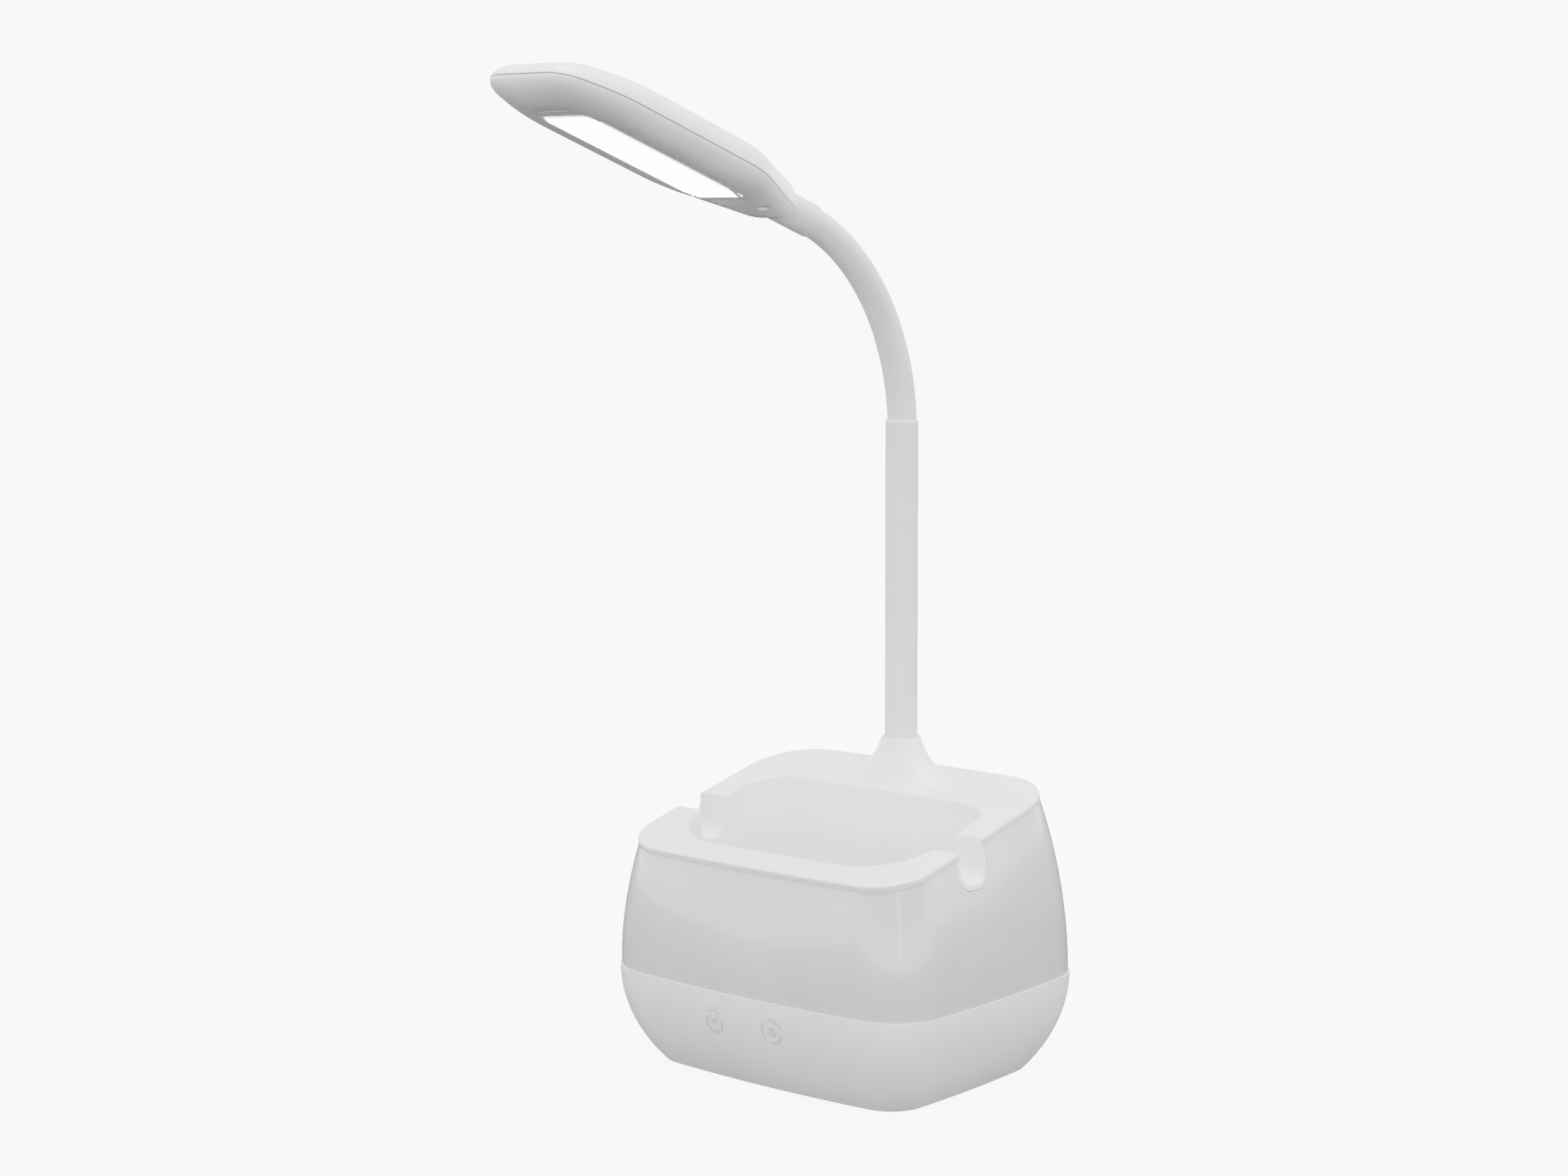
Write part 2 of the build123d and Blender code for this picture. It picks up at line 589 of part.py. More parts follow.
with BuildPart() as touch_board:
    with BuildSketch(Plane.XZ.offset(-TOUCH_BOARD_Y)):
        with Locations((0, CHASSIS_BOTTOM + TOUCH_BOARD_GROOVE - FIT / 2 - TOUCH_BOARD_DROP / 2)):
            Rectangle(TOUCH_BOARD_WIDTH, TOUCH_BOARD_DROP)
    extrude(amount=-TOUCH_BOARD_THICKNESS)
touch_board.part.label = "touch_board"
export_step(touch_board.part, "parts/touch_board.step")

# ---------------------------------------------------------------- chassis plate and night light
RIB_OUTSIDE = SHADE_WALL + FIT
with BuildPart() as chassis_plate:
    with BuildSketch(Plane.XY.offset(CHASSIS_BOTTOM)):
        bowl_outline(CHASSIS_THICKNESS, WALL + FIT)
    extrude(amount=CHASSIS_THICKNESS)
    # rib that centres the shade
    with BuildSketch(Plane.XY.offset(SEAM_Z)):
        bowl_outline(0, SHADE_STEP + RIB_OUTSIDE)
    extrude(amount=RIB_HEIGHT)
    with BuildSketch(Plane.XY.offset(SEAM_Z)):
        bowl_outline(0, SHADE_STEP + RIB_OUTSIDE + RIB_THICKNESS)
    extrude(amount=RIB_HEIGHT, mode=Mode.SUBTRACT)
    # bosses that meet the bowl's posts
    with BuildSketch(Plane.XY.offset(POST_TOP + FIT)):
        with Locations(*POSTS):
            Circle(POST_RADIUS)
    extrude(amount=CHASSIS_BOTTOM - POST_TOP - FIT)
    with BuildSketch(Plane.XY.offset(POST_TOP)):
        with Locations(*POSTS):
            Circle(SCREW_RADIUS + TOUCH)
    extrude(amount=CHASSIS_BORE, mode=Mode.SUBTRACT)
    # holes for the tray screws and for the wires of the neck
    with BuildSketch(Plane.XY.offset(CHASSIS_BOTTOM)):
        with Locations(*TRAY_POSTS):
            Circle(SCREW_RADIUS + FIT)
        with Locations((0, NECK_Y)):
            Circle(STUD_RADIUS)
    extrude(amount=CHASSIS_THICKNESS, mode=Mode.SUBTRACT)
    # groove that holds the touch board's upper edge
    with BuildSketch(Plane.XY.offset(CHASSIS_BOTTOM)):
        with Locations((0, TOUCH_BOARD_Y + TOUCH_BOARD_THICKNESS / 2)):
            Rectangle(TOUCH_BOARD_WIDTH + FIT, TOUCH_BOARD_THICKNESS + FIT / 2)
    extrude(amount=TOUCH_BOARD_GROOVE, mode=Mode.SUBTRACT)
chassis_plate.part.label = "chassis_plate"
export_step(chassis_plate.part, "parts/chassis_plate.step")

with BuildPart() as night_light_board:
    with BuildSketch(Plane.XY.offset(SEAM_Z)):
        with Locations((0, -NIGHT_BOARD_Y)):
            Rectangle(2 * NIGHT_BOARD_X, NIGHT_BOARD_WIDTH)
    extrude(amount=NIGHT_BOARD_THICKNESS)
night_light_board.part.label = "night_light_board"
export_step(night_light_board.part, "parts/night_light_board.step")

with BuildPart() as night_leds:
    with BuildSketch(Plane.XY.offset(SEAM_Z + NIGHT_BOARD_THICKNESS)):
        with Locations((0, -NIGHT_BOARD_Y)):
            with GridLocations(2 * NIGHT_BOARD_X / NIGHT_LEDS_LONG, 1, NIGHT_LEDS_LONG, 1):
                Rectangle(LED_SIZE, LED_SIZE)
    extrude(amount=LED_THICKNESS)
night_leds.part.label = "night_leds"
export_step(night_leds.part, "parts/night_leds.step")

# ---------------------------------------------------------------- shade
shade_outside = shade_body()
with BuildPart() as light_shade:
    add(shade_outside)
    add(shade_body(SHADE_WALL), mode=Mode.SUBTRACT)
    with BuildSketch(Plane.YZ):
        notch_outline(NOTCH_LIP + FIT)
    extrude(amount=BOWL_WIDTH, both=True, mode=Mode.SUBTRACT)
light_shade.part.label = "light_shade"
export_step(light_shade.part, "parts/light_shade.step")

# ---------------------------------------------------------------- tray
deck_plane = shade_plane(1)
collar_inner = SLEEVE_OUTER + FIT
collar_outer = collar_inner + COLLAR_LIP


def flare_section(slope):
    """Height and half axes of the collar's flare where its side has this slope, in degrees."""
    height = FLARE_BASE + COLLAR_SWEEP * (1 - cos(radians(slope)))
    run = sin(radians(COLLAR_TOP_SLOPE)) - sin(radians(slope))
    reach = run / sin(radians(COLLAR_TOP_SLOPE))
    return height, collar_outer + COLLAR_SWEEP * run, collar_outer + COLLAR_REACH_Y * reach


with BuildPart() as collar_flare:
    for slope in (COLLAR_TOP_SLOPE, *FLARE_SLOPES):
        height, half_x, half_y = flare_section(slope)
        lean = radians(DECK_TILT) * (1 - slope / COLLAR_TOP_SLOPE) ** 2
        sink = FLARE_SINK if slope == 0 else 0
        with BuildSketch(Plane(origin=(0, NECK_Y, height - sink), x_dir=(1, 0, 0),
                               z_dir=(0, -sin(lean), cos(lean)))):
            Ellipse(half_x, half_y)
    loft()

with BuildPart() as pocket_space:
    add(pocket_body(POCKET_FLOOR_HEIGHT, 0))
    fillet(pocket_space.edges().group_by(Axis.Z)[0], POCKET_FLOOR_ROUND)

# channels of the notches in the side walls, flush with the shade
with BuildPart() as notch_channels:
    with BuildSketch(Plane.YZ):
        notch_outline(NOTCH_LIP)
    extrude(amount=BOWL_WIDTH, both=True)
    add(shade_outside, mode=Mode.INTERSECT)
    add(pocket_space.part, mode=Mode.SUBTRACT)

with BuildPart() as top_tray:
    # tub, cut off at the deck, then the deck itself
    add(pocket_body(POCKET_UNDER, POCKET_WALL))
    add(above_deck(DECK_THICKNESS / 2), mode=Mode.SUBTRACT)
    with BuildSketch(deck_plane):
        shade_outline(1, -FIT)
    extrude(amount=DECK_THICKNESS)
    add(pocket_space.part, mode=Mode.SUBTRACT)
    deck_axis = Axis((0, 0, 0), deck_plane.z_dir)
    fillet(top_tray.faces().sort_by(deck_axis)[-1].outer_wire().edges(), DECK_EDGE_ROUND)
    fillet(top_tray.faces().sort_by(deck_axis)[-1].inner_wires()[0].edges(), POCKET_RIM_ROUND)
    add(collar_flare.part)
    add(notch_channels.part)
    with BuildSketch(Plane.YZ):
        notch_outline(0)
    extrude(amount=BOWL_WIDTH, both=True, mode=Mode.SUBTRACT)
    # posts under the pocket for the tray screws
    with BuildSketch(Plane.XY.offset(SEAM_Z)):
        with Locations(*TRAY_POSTS):
            Circle(POST_RADIUS)
    extrude(amount=POCKET_UNDER - SEAM_Z + POCKET_WALL / 2)
    with BuildSketch(Plane.XY.offset(SEAM_Z)):
        with Locations(*TRAY_POSTS):
            Circle(SCREW_RADIUS + TOUCH)
    extrude(amount=POCKET_UNDER - SEAM_Z - SCREW_TIP_ROOM, mode=Mode.SUBTRACT)
    # boss under the collar, bore for the stud and seat for the sleeve
    with BuildSketch(Plane.XY.offset(BOSS_BOTTOM)):
        with Locations((0, NECK_Y)):
            Circle(BOSS_RADIUS)
    extrude(amount=deck_height(NECK_Y) - BOSS_BOTTOM + DECK_THICKNESS / 2)
    with BuildSketch(Plane.XY.offset(BOSS_BOTTOM)):
        with Locations((0, NECK_Y)):
            Circle(STUD_RADIUS + FIT)
    extrude(amount=COLLAR_TOP - BOSS_BOTTOM, mode=Mode.SUBTRACT)
    with BuildSketch(Plane.XY.offset(COLLAR_TOP - COLLAR_SEAT)):
        with Locations((0, NECK_Y)):
            Circle(collar_inner)
    extrude(amount=COLLAR_SEAT, mode=Mode.SUBTRACT)
top_tray.part.label = "top_tray"
export_step(top_tray.part, "parts/top_tray.step")

with BuildPart() as tray_screws:
    for x, y in TRAY_POSTS:
        with BuildSketch(Plane(origin=(x, y, 0), x_dir=(1, 0, 0), z_dir=(0, -1, 0))):
            cone_headed_screw(CHASSIS_BOTTOM - SCREW_HEAD_HEIGHT,
                              SCREW_HEAD_HEIGHT + CHASSIS_THICKNESS + TRAY_SCREW_BITE)
        revolve(axis=Axis((x, y, 0), (0, 0, 1)))
tray_screws.part.label = "tray_screws"
export_step(tray_screws.part, "parts/tray_screws.step")


# ---------------------------------------------------------------- neck
def arc_point(tilt):
    """Point of the neck's bend where it leans this many degrees from upright."""
    back = NECK_BEND_RADIUS * (cos(radians(START_TILT)) - cos(radians(tilt)))
    rise = NECK_BEND_RADIUS * (sin(radians(tilt)) - sin(radians(START_TILT)))
    return Vector(0, NECK_Y - back, HINGE_START + rise)


def turned_ring(start, end, inner, outer, cut_start, cut_end):
    """Ring turned round the line from start to end; a cut is (gap, bevel in degrees) at that end."""
    line = end - start
    bevels = []
    for gap, bevel in (cut_start, cut_end):
        bevels.append([gap + radius * tan(radians(bevel)) for radius in (inner, outer)])
    low, high = bevels
    half_plane = Plane(origin=start, x_dir=(1, 0, 0), z_dir=Vector(1, 0, 0).cross(line.normalized()))
    with BuildSketch(half_plane) as section:
        with BuildLine():
            Polyline((inner, low[0]), (outer, low[1]), (outer, line.length - high[1]),
                     (inner, line.length - high[0]), close=True)
        make_face()
    revolve(section.sketch, axis=Axis(start, line))


HINGES = [arc_point(START_TILT + (END_TILT - START_TILT) * k / LINKS) for k in range(LINKS + 1)]
HEAD_FORWARD = Vector(0, -cos(radians(HEAD_RISE)), sin(radians(HEAD_RISE)))
HEAD_UP = Vector(0, sin(radians(HEAD_RISE)), cos(radians(HEAD_RISE)))
HEAD_ORIGIN = HINGES[-1] + HEAD_FORWARD * COLLAR_SHOWN - HEAD_UP * NECK_AXIS_HEIGHT
BEVELLED = (LINK_GAP / 2, LINK_BEVEL)
STUD_TOP = COLLAR_TOP - STUD_BELOW_COLLAR
SQUARE = (0, 0)


def head_plane(height=0.0):
    """Plane of the head: local x runs to the tip, local y to the right, at a height over the underside."""
    return Plane(origin=HEAD_ORIGIN + HEAD_UP * height, x_dir=HEAD_FORWARD, z_dir=HEAD_UP)


def on_neck_axis(forward):
    """Point on the neck's line inside the head, measured from the head's neck end."""
    return HEAD_ORIGIN + HEAD_UP * NECK_AXIS_HEIGHT + HEAD_FORWARD * forward


with BuildPart() as neck_stud:
    turned_ring(Vector(0, NECK_Y, STUD_BOTTOM), Vector(0, NECK_Y, STUD_TOP), HOSE_BORE, STUD_RADIUS,
                SQUARE, SQUARE)
neck_stud.part.label = "neck_stud"
export_step(neck_stud.part, "parts/neck_stud.step")

with BuildPart() as neck_washer:
    turned_ring(Vector(0, NECK_Y, BOSS_BOTTOM - WASHER_THICKNESS), Vector(0, NECK_Y, BOSS_BOTTOM),
                STUD_RADIUS + FIT, WASHER_RADIUS, SQUARE, SQUARE)
neck_washer.part.label = "neck_washer"
export_step(neck_washer.part, "parts/neck_washer.step")

with BuildPart() as neck_nut:
    with BuildSketch(Plane.XY.offset(BOSS_BOTTOM - WASHER_THICKNESS - NUT_HEIGHT)):
        with Locations((0, NECK_Y)):
            RegularPolygon(NUT_FLATS / 2, 6, major_radius=False)
            Circle(STUD_RADIUS + TOUCH, mode=Mode.SUBTRACT)
    extrude(amount=NUT_HEIGHT)
neck_nut.part.label = "neck_nut"
export_step(neck_nut.part, "parts/neck_nut.step")

with BuildPart() as lower_hose:
    turned_ring(Vector(0, NECK_Y, STUD_TOP), HINGES[0], HOSE_BORE, HOSE_OUTER, SQUARE, BEVELLED)
lower_hose.part.label = "lower_hose"
export_step(lower_hose.part, "parts/lower_hose.step")

with BuildPart() as lower_sleeve:
    turned_ring(Vector(0, NECK_Y, COLLAR_TOP - COLLAR_SEAT), Vector(0, NECK_Y, SLEEVE_TOP),
                FLEX_INNER, SLEEVE_OUTER, SQUARE, SQUARE)
    fillet(lower_sleeve.edges().group_by(Axis.Z)[-1].sort_by(SortBy.LENGTH)[-1], SLEEVE_TOP_ROUND)
lower_sleeve.part.label = "lower_sleeve"
export_step(lower_sleeve.part, "parts/lower_sleeve.step")

for link in range(1, LINKS + 1):
    start, end = HINGES[link - 1], HINGES[link]
    sleeve_end = (COLLAR_BACK + SLEEVE_END_GAP, 0) if link == LINKS else BEVELLED
    with BuildPart() as neck_hose:
        turned_ring(start, end, HOSE_BORE, HOSE_OUTER, BEVELLED, BEVELLED)
    neck_hose.part.label = f"neck_hose_{link:02d}"
    export_step(neck_hose.part, f"parts/neck_hose_{link:02d}.step")
    with BuildPart() as neck_sleeve:
        turned_ring(start, end, FLEX_INNER, FLEX_OUTER, BEVELLED, sleeve_end)
    neck_sleeve.part.label = f"neck_sleeve_{link:02d}"
    export_step(neck_sleeve.part, f"parts/neck_sleeve_{link:02d}.step")

collar_start = HINGES[-1] - HEAD_FORWARD * COLLAR_BACK
with BuildPart() as neck_collar:
    turned_ring(collar_start, on_neck_axis(HEAD_COLLAR_INSIDE), FLEX_INNER, HEAD_COLLAR_RADIUS, SQUARE,
                SQUARE)
    collar_rims = neck_collar.edges().filter_by(GeomType.CIRCLE).sort_by(Axis(collar_start, HEAD_FORWARD))
    fillet(collar_rims[0:2].sort_by(SortBy.LENGTH)[-1], SLEEVE_TOP_ROUND)
neck_collar.part.label = "neck_collar"
export_step(neck_collar.part, "parts/neck_collar.step")

FERRULE_START = HEAD_COLLAR_INSIDE + FERRULE_GAP
with BuildPart() as neck_ferrule:
    # a stem that meets the hose, and the wide part that the head clamps
    turned_ring(HINGES[-1], on_neck_axis(FERRULE_START), HOSE_BORE, HOSE_OUTER, (LINK_GAP / 2, 0), SQUARE)
    turned_ring(on_neck_axis(FERRULE_START), on_neck_axis(FERRULE_START + FERRULE_LENGTH), HOSE_BORE,
                FERRULE_RADIUS, SQUARE, SQUARE)
neck_ferrule.part.label = "neck_ferrule"
export_step(neck_ferrule.part, "parts/neck_ferrule.step")


# ---------------------------------------------------------------- head
def head_outline(side_in, tip_in, neck_in, wall=0.0):
    """Plan of the head, drawn in from the parting line's outline; local x runs to the tip."""
    half = HEAD_HALF_WIDTH - side_in - wall
    tip_half = HEAD_TIP_HALF - side_in - wall
    neck_half = max(HEAD_NECK_HALF - HEAD_NECK_NARROWING * side_in - wall / 2, HEAD_NECK_LEAST)
    tip = HEAD_LENGTH - tip_in - wall
    shoulder = tip - HEAD_TIP_TAPER + HEAD_TAPER_SHIFT * tip_in
    taper = HEAD_NECK_TAPER + HEAD_TAPER_SHIFT * neck_in
    neck = HEAD_NECK_START + neck_in + wall
    right = [(tip, tip_half), (shoulder, half), (taper, half), (neck, neck_half)]
    left = [(x, -y) for x, y in reversed(right)]
    radii = [HEAD_TIP_SOFTEN * tip_half, HEAD_TIP_SHOULDER * tip_half, HEAD_NECK_SHOULDER,
             HEAD_NECK_SOFTEN * neck_half]
    with BuildLine() as outline:
        FilletPolyline(*right, *left, radius=radii + radii[::-1], close=True)
    make_face(outline.edges())


LOFT_STEPS = (0, 22, 44, 66, 90)


def head_half(upper, wall=0.0):
    """Solid between the parting line and the top or the underside, its sides a quarter ellipse."""
    rise = (HEAD_UPPER if upper else HEAD_LOWER) - wall
    side_round = HEAD_SIDE_ROUND_UPPER if upper else HEAD_SIDE_ROUND_LOWER
    tip_round = HEAD_TIP_ROUND_UPPER if upper else HEAD_TIP_ROUND_LOWER
    neck_round = HEAD_NECK_ROUND_UPPER if upper else HEAD_NECK_ROUND_LOWER
    with BuildPart() as body:
        for angle in LOFT_STEPS:
            up = rise * sin(radians(angle))
            inwards = 1 - cos(radians(angle))
            with BuildSketch(head_plane(HEAD_LOWER + (up if upper else -up))):
                head_outline(side_round * inwards, tip_round * inwards, neck_round * inwards, wall)
        loft()
    return body.part


lower_outside = head_half(False)
upper_outside = head_half(True)
SCREW_SPOTS = [(HEAD_SCREW_U, -HEAD_SCREW_X), (HEAD_SCREW_U, HEAD_SCREW_X)]
PANEL_MIDDLE = PANEL_START + PANEL_LENGTH / 2
CRADLE_U = FERRULE_START + FERRULE_LENGTH / 2
BOARD_UNDER = HEAD_WALL + PANEL_FLANGE_THICKNESS + REFLECTOR_HEIGHT
LED_BOARD_TOP = BOARD_UNDER + LED_BOARD_THICKNESS
FLANGE_LENGTH = PANEL_LENGTH + 2 * PANEL_FLANGE
FLANGE_HALF = PANEL_HALF_WIDTH + PANEL_FLANGE


def bar(plane, middle, length, width, height, mode=Mode.ADD, rounded=0.0):
    """Rectangular block on a plane of the head, centred on the head's middle line."""
    with BuildSketch(plane) as section:
        with Locations((middle, 0)):
            if rounded > 0:
                RectangleRounded(length, width, rounded)
            else:
                Rectangle(length, width)
    extrude(section.sketch, amount=height, mode=mode)


def neck_passage():
    """Space of the neck collar and of the ferrule inside the head."""
    with BuildPart() as space:
        turned_ring(on_neck_axis(-COLLAR_SHOWN), on_neck_axis(HEAD_COLLAR_INSIDE + FIT), 0,
                    HEAD_COLLAR_RADIUS + FIT / 2, SQUARE, SQUARE)
        turned_ring(on_neck_axis(HEAD_COLLAR_INSIDE),
                    on_neck_axis(FERRULE_START + FERRULE_LENGTH + FERRULE_GAP), 0,
                    FERRULE_RADIUS + FIT / 2, SQUARE, SQUARE)
    return space.part


passage = neck_passage()

# bosses for the screws and a cradle under the ferrule, kept inside the shell
with BuildPart() as lower_bosses:
    with BuildSketch(head_plane()):
        with Locations(*SCREW_SPOTS):
            Circle(HEAD_BOSS_RADIUS)
    extrude(amount=HEAD_LOWER)
    bar(head_plane(), CRADLE_U, CRADLE_THICKNESS, 3 * FERRULE_RADIUS, HEAD_LOWER)
    add(lower_outside, mode=Mode.INTERSECT)

with BuildPart() as head_lower_shell:
    add(lower_outside)
    add(head_half(False, HEAD_WALL), mode=Mode.SUBTRACT)
    add(lower_bosses.part)
    add(passage, mode=Mode.SUBTRACT)
    bar(head_plane(), PANEL_MIDDLE, PANEL_LENGTH + 2 * FIT, 2 * (PANEL_HALF_WIDTH + FIT), HEAD_WALL,
        Mode.SUBTRACT, PANEL_CORNER)
    bar(head_plane(HEAD_WALL), PANEL_MIDDLE, FLANGE_LENGTH + 2 * FIT, 2 * (FLANGE_HALF + FIT), HEAD_LOWER,
        Mode.SUBTRACT)
    # vent slots near the neck, a shallow groove near the tip
    for slot in range(2):
        bar(head_plane(), VENT_START + slot * VENT_PITCH, VENT_WIDTH, 2 * VENT_HALF_LENGTH, HEAD_LOWER,
            Mode.SUBTRACT)
    bar(head_plane(), GROOVE_POSITION, VENT_WIDTH, 2 * GROOVE_HALF_LENGTH, GROOVE_DEPTH, Mode.SUBTRACT)
    with BuildSketch(head_plane()):
        with Locations(*SCREW_SPOTS):
            Circle(HEAD_SCREW_HOLE)
    extrude(amount=HEAD_SCREW_DEPTH + HEAD_SCREW_HEAD, mode=Mode.SUBTRACT)
    with BuildSketch(head_plane()):
        with Locations(*SCREW_SPOTS):
            Circle(HEAD_SHANK + FIT)
    extrude(amount=HEAD_LOWER, mode=Mode.SUBTRACT)
head_lower_shell.part.label = "head_lower_shell"
export_step(head_lower_shell.part, "parts/head_lower_shell.step")

# bosses and cradle of the upper shell, and two ribs that press on the light board
with BuildPart() as upper_bosses:
    with BuildSketch(head_plane(HEAD_LOWER)):
        with Locations(*SCREW_SPOTS):
            Circle(HEAD_BOSS_RADIUS)
    extrude(amount=HEAD_UPPER)
    bar(head_plane(HEAD_LOWER), CRADLE_U, CRADLE_THICKNESS, 3 * FERRULE_RADIUS, HEAD_UPPER)
    for place in (-1, 1):
        bar(head_plane(LED_BOARD_TOP), PANEL_MIDDLE + place * PANEL_LENGTH / 4, HEAD_WALL,
            2 * HEAD_BOSS_RADIUS, HEAD_UPPER)
    add(upper_outside, mode=Mode.INTERSECT)

with BuildPart() as head_upper_shell:
    add(upper_outside)
    add(head_half(True, HEAD_WALL), mode=Mode.SUBTRACT)
    add(upper_bosses.part)
    add(passage, mode=Mode.SUBTRACT)
    with BuildSketch(head_plane(HEAD_LOWER)):
        with Locations(*SCREW_SPOTS):
            Circle(HEAD_SHANK + TOUCH)
    extrude(amount=HEAD_UPPER - HEAD_WALL - SCREW_TIP_ROOM, mode=Mode.SUBTRACT)
    # the thin gap that shows as the parting line
    bar(head_plane(HEAD_LOWER), HEAD_LENGTH / 2, 1.2 * HEAD_LENGTH, 3 * HEAD_HALF_WIDTH, HEAD_SEAM,
        Mode.SUBTRACT)
head_upper_shell.part.label = "head_upper_shell"
export_step(head_upper_shell.part, "parts/head_upper_shell.step")

with BuildPart() as diffuser_panel:
    bar(head_plane(FIT / 2), PANEL_MIDDLE, PANEL_LENGTH, 2 * PANEL_HALF_WIDTH, HEAD_WALL, Mode.ADD,
        PANEL_CORNER - FIT)
    bar(head_plane(HEAD_WALL), PANEL_MIDDLE, FLANGE_LENGTH, 2 * FLANGE_HALF, PANEL_FLANGE_THICKNESS)
diffuser_panel.part.label = "diffuser_panel"
export_step(diffuser_panel.part, "parts/diffuser_panel.step")

with BuildPart() as reflector_frame:
    reflector_plane = head_plane(HEAD_WALL + PANEL_FLANGE_THICKNESS)
    bar(reflector_plane, PANEL_MIDDLE, FLANGE_LENGTH, 2 * FLANGE_HALF, REFLECTOR_HEIGHT)
    bar(reflector_plane, PANEL_MIDDLE, FLANGE_LENGTH - 2 * REFLECTOR_WALL,
        2 * (FLANGE_HALF - REFLECTOR_WALL), REFLECTOR_HEIGHT, Mode.SUBTRACT)
reflector_frame.part.label = "reflector_frame"
export_step(reflector_frame.part, "parts/reflector_frame.step")

with BuildPart() as led_board:
    bar(head_plane(BOARD_UNDER), PANEL_MIDDLE, FLANGE_LENGTH, 2 * FLANGE_HALF, LED_BOARD_THICKNESS)
led_board.part.label = "led_board"
export_step(led_board.part, "parts/led_board.step")

with BuildPart() as head_leds:
    with BuildSketch(head_plane(BOARD_UNDER - LED_THICKNESS)):
        with Locations((PANEL_MIDDLE, 0)):
            with GridLocations(PANEL_LENGTH / LEDS_PER_ROW, PANEL_HALF_WIDTH, LEDS_PER_ROW, LED_ROWS):
                Rectangle(LED_SIZE, LED_SIZE)
    extrude(amount=LED_THICKNESS)
head_leds.part.label = "head_leds"
export_step(head_leds.part, "parts/head_leds.step")

with BuildPart() as head_screws:
    with BuildSketch(head_plane(HEAD_SCREW_DEPTH)):
        with Locations(*SCREW_SPOTS):
            Circle(HEAD_SCREW_HOLE - FIT)
    extrude(amount=HEAD_SCREW_HEAD)
    with BuildSketch(head_plane(HEAD_SCREW_DEPTH)):
        with Locations(*SCREW_SPOTS):
            Circle(HEAD_SHANK)
    extrude(amount=HEAD_SCREW_LENGTH)
head_screws.part.label = "head_screws"
export_step(head_screws.part, "parts/head_screws.step")
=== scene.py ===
import json
from math import atan2, cos, pi, radians, sin

import bmesh
import bpy
from bpy.props import FloatProperty, FloatVectorProperty, IntProperty, PointerProperty
from mathutils import Matrix, Vector
from mathutils.bvhtree import BVHTree


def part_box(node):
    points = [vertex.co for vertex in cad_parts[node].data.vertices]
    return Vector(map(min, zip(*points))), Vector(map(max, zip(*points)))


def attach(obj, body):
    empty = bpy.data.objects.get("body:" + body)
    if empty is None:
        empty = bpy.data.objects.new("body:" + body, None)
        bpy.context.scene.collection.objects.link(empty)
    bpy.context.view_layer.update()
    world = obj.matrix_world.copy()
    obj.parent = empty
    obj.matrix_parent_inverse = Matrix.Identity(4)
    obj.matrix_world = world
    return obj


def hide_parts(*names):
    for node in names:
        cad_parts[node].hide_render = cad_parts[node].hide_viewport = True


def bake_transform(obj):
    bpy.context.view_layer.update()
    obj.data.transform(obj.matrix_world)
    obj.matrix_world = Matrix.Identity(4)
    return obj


bl_info = {
    "name": "Desk lamp with pen tray and night light",
    "version": (1, 0, 0),
    "blender": (4, 5, 0),
    "location": "3D View > Sidebar > Desk Lamp",
    "description": "Dresses the packed gooseneck lamp: silicone neck, printed icons, mouldings, lit window",
    "category": "Object",
}

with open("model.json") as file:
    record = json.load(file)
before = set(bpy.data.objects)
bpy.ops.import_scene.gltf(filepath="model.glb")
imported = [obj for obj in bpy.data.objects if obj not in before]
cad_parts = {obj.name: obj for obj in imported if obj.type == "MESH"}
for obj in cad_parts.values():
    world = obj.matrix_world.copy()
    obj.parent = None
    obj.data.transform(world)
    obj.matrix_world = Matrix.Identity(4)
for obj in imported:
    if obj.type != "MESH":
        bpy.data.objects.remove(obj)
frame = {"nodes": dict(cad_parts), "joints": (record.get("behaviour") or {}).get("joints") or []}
MM = 0.001
HINGE_POINTS = [Vector(joint["pos_m"]) for joint in frame["joints"]]
SLEEVES = [f"neck_sleeve_{number:02d}" for number in range(1, 11)]
HOSES = ["lower_hose"] + [f"neck_hose_{number:02d}" for number in range(1, 11)]
HOSE_CLEARANCE = 0.3 * MM    # between the hose and the skin round it
LAST_STRETCH = 0.9           # of the last link, where the head's collar takes over
SHARP_EDGE = radians(40)     # from here on an edge is a real corner
# painted shadow along the head's parting line: its colour, and how far it reaches each side
PAINTED_JOINT_SHADOW = "#7E7F80"
JOINT_REACH_MM = 0.2         # each side of the head's parting line
FLOOR_RADIUS = 30.0
UNDER_FLOOR = (-0.03, -0.01)   # heights of a direction between which the light comes up
BAND_TOP = (0.08, 0.2)         # and between which the bright band fades into the softer sky
KEY_PLACE, KEY_SIZE = Vector((0.1, -0.15, 1.5)), (1.0, 1.0)
STRIP_PLACE, STRIP_SIZE = Vector((1.15, -0.95, 0.55)), (0.18, 0.9)
LIGHT_AIM = Vector((0, 0, 0.18))


# ---------------------------------------------------------------- places worked out from the frame
def circle_through(a, b, c):
    """Centre and radius of the neck's bend, from three hinge points in the plane of the neck."""
    u, v = b - a, c - a
    across = u.cross(v)
    to_centre = (across.cross(u) * v.length_squared + v.cross(across) * u.length_squared)
    to_centre /= 2 * across.length_squared
    return a + to_centre, to_centre.length


BEND_CENTRE, BEND_RADIUS = circle_through(HINGE_POINTS[0], HINGE_POINTS[4], HINGE_POINTS[9])
SIDEWAYS = Vector((1, 0, 0))


def bend_tilt(point):
    """How far round the bend a point lies, in radians from where the neck stands upright."""
    return atan2(point.z - BEND_CENTRE.z, point.y - BEND_CENTRE.y)


def node_radius(node):
    low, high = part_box(node)
    return (high.x - low.x) / 2


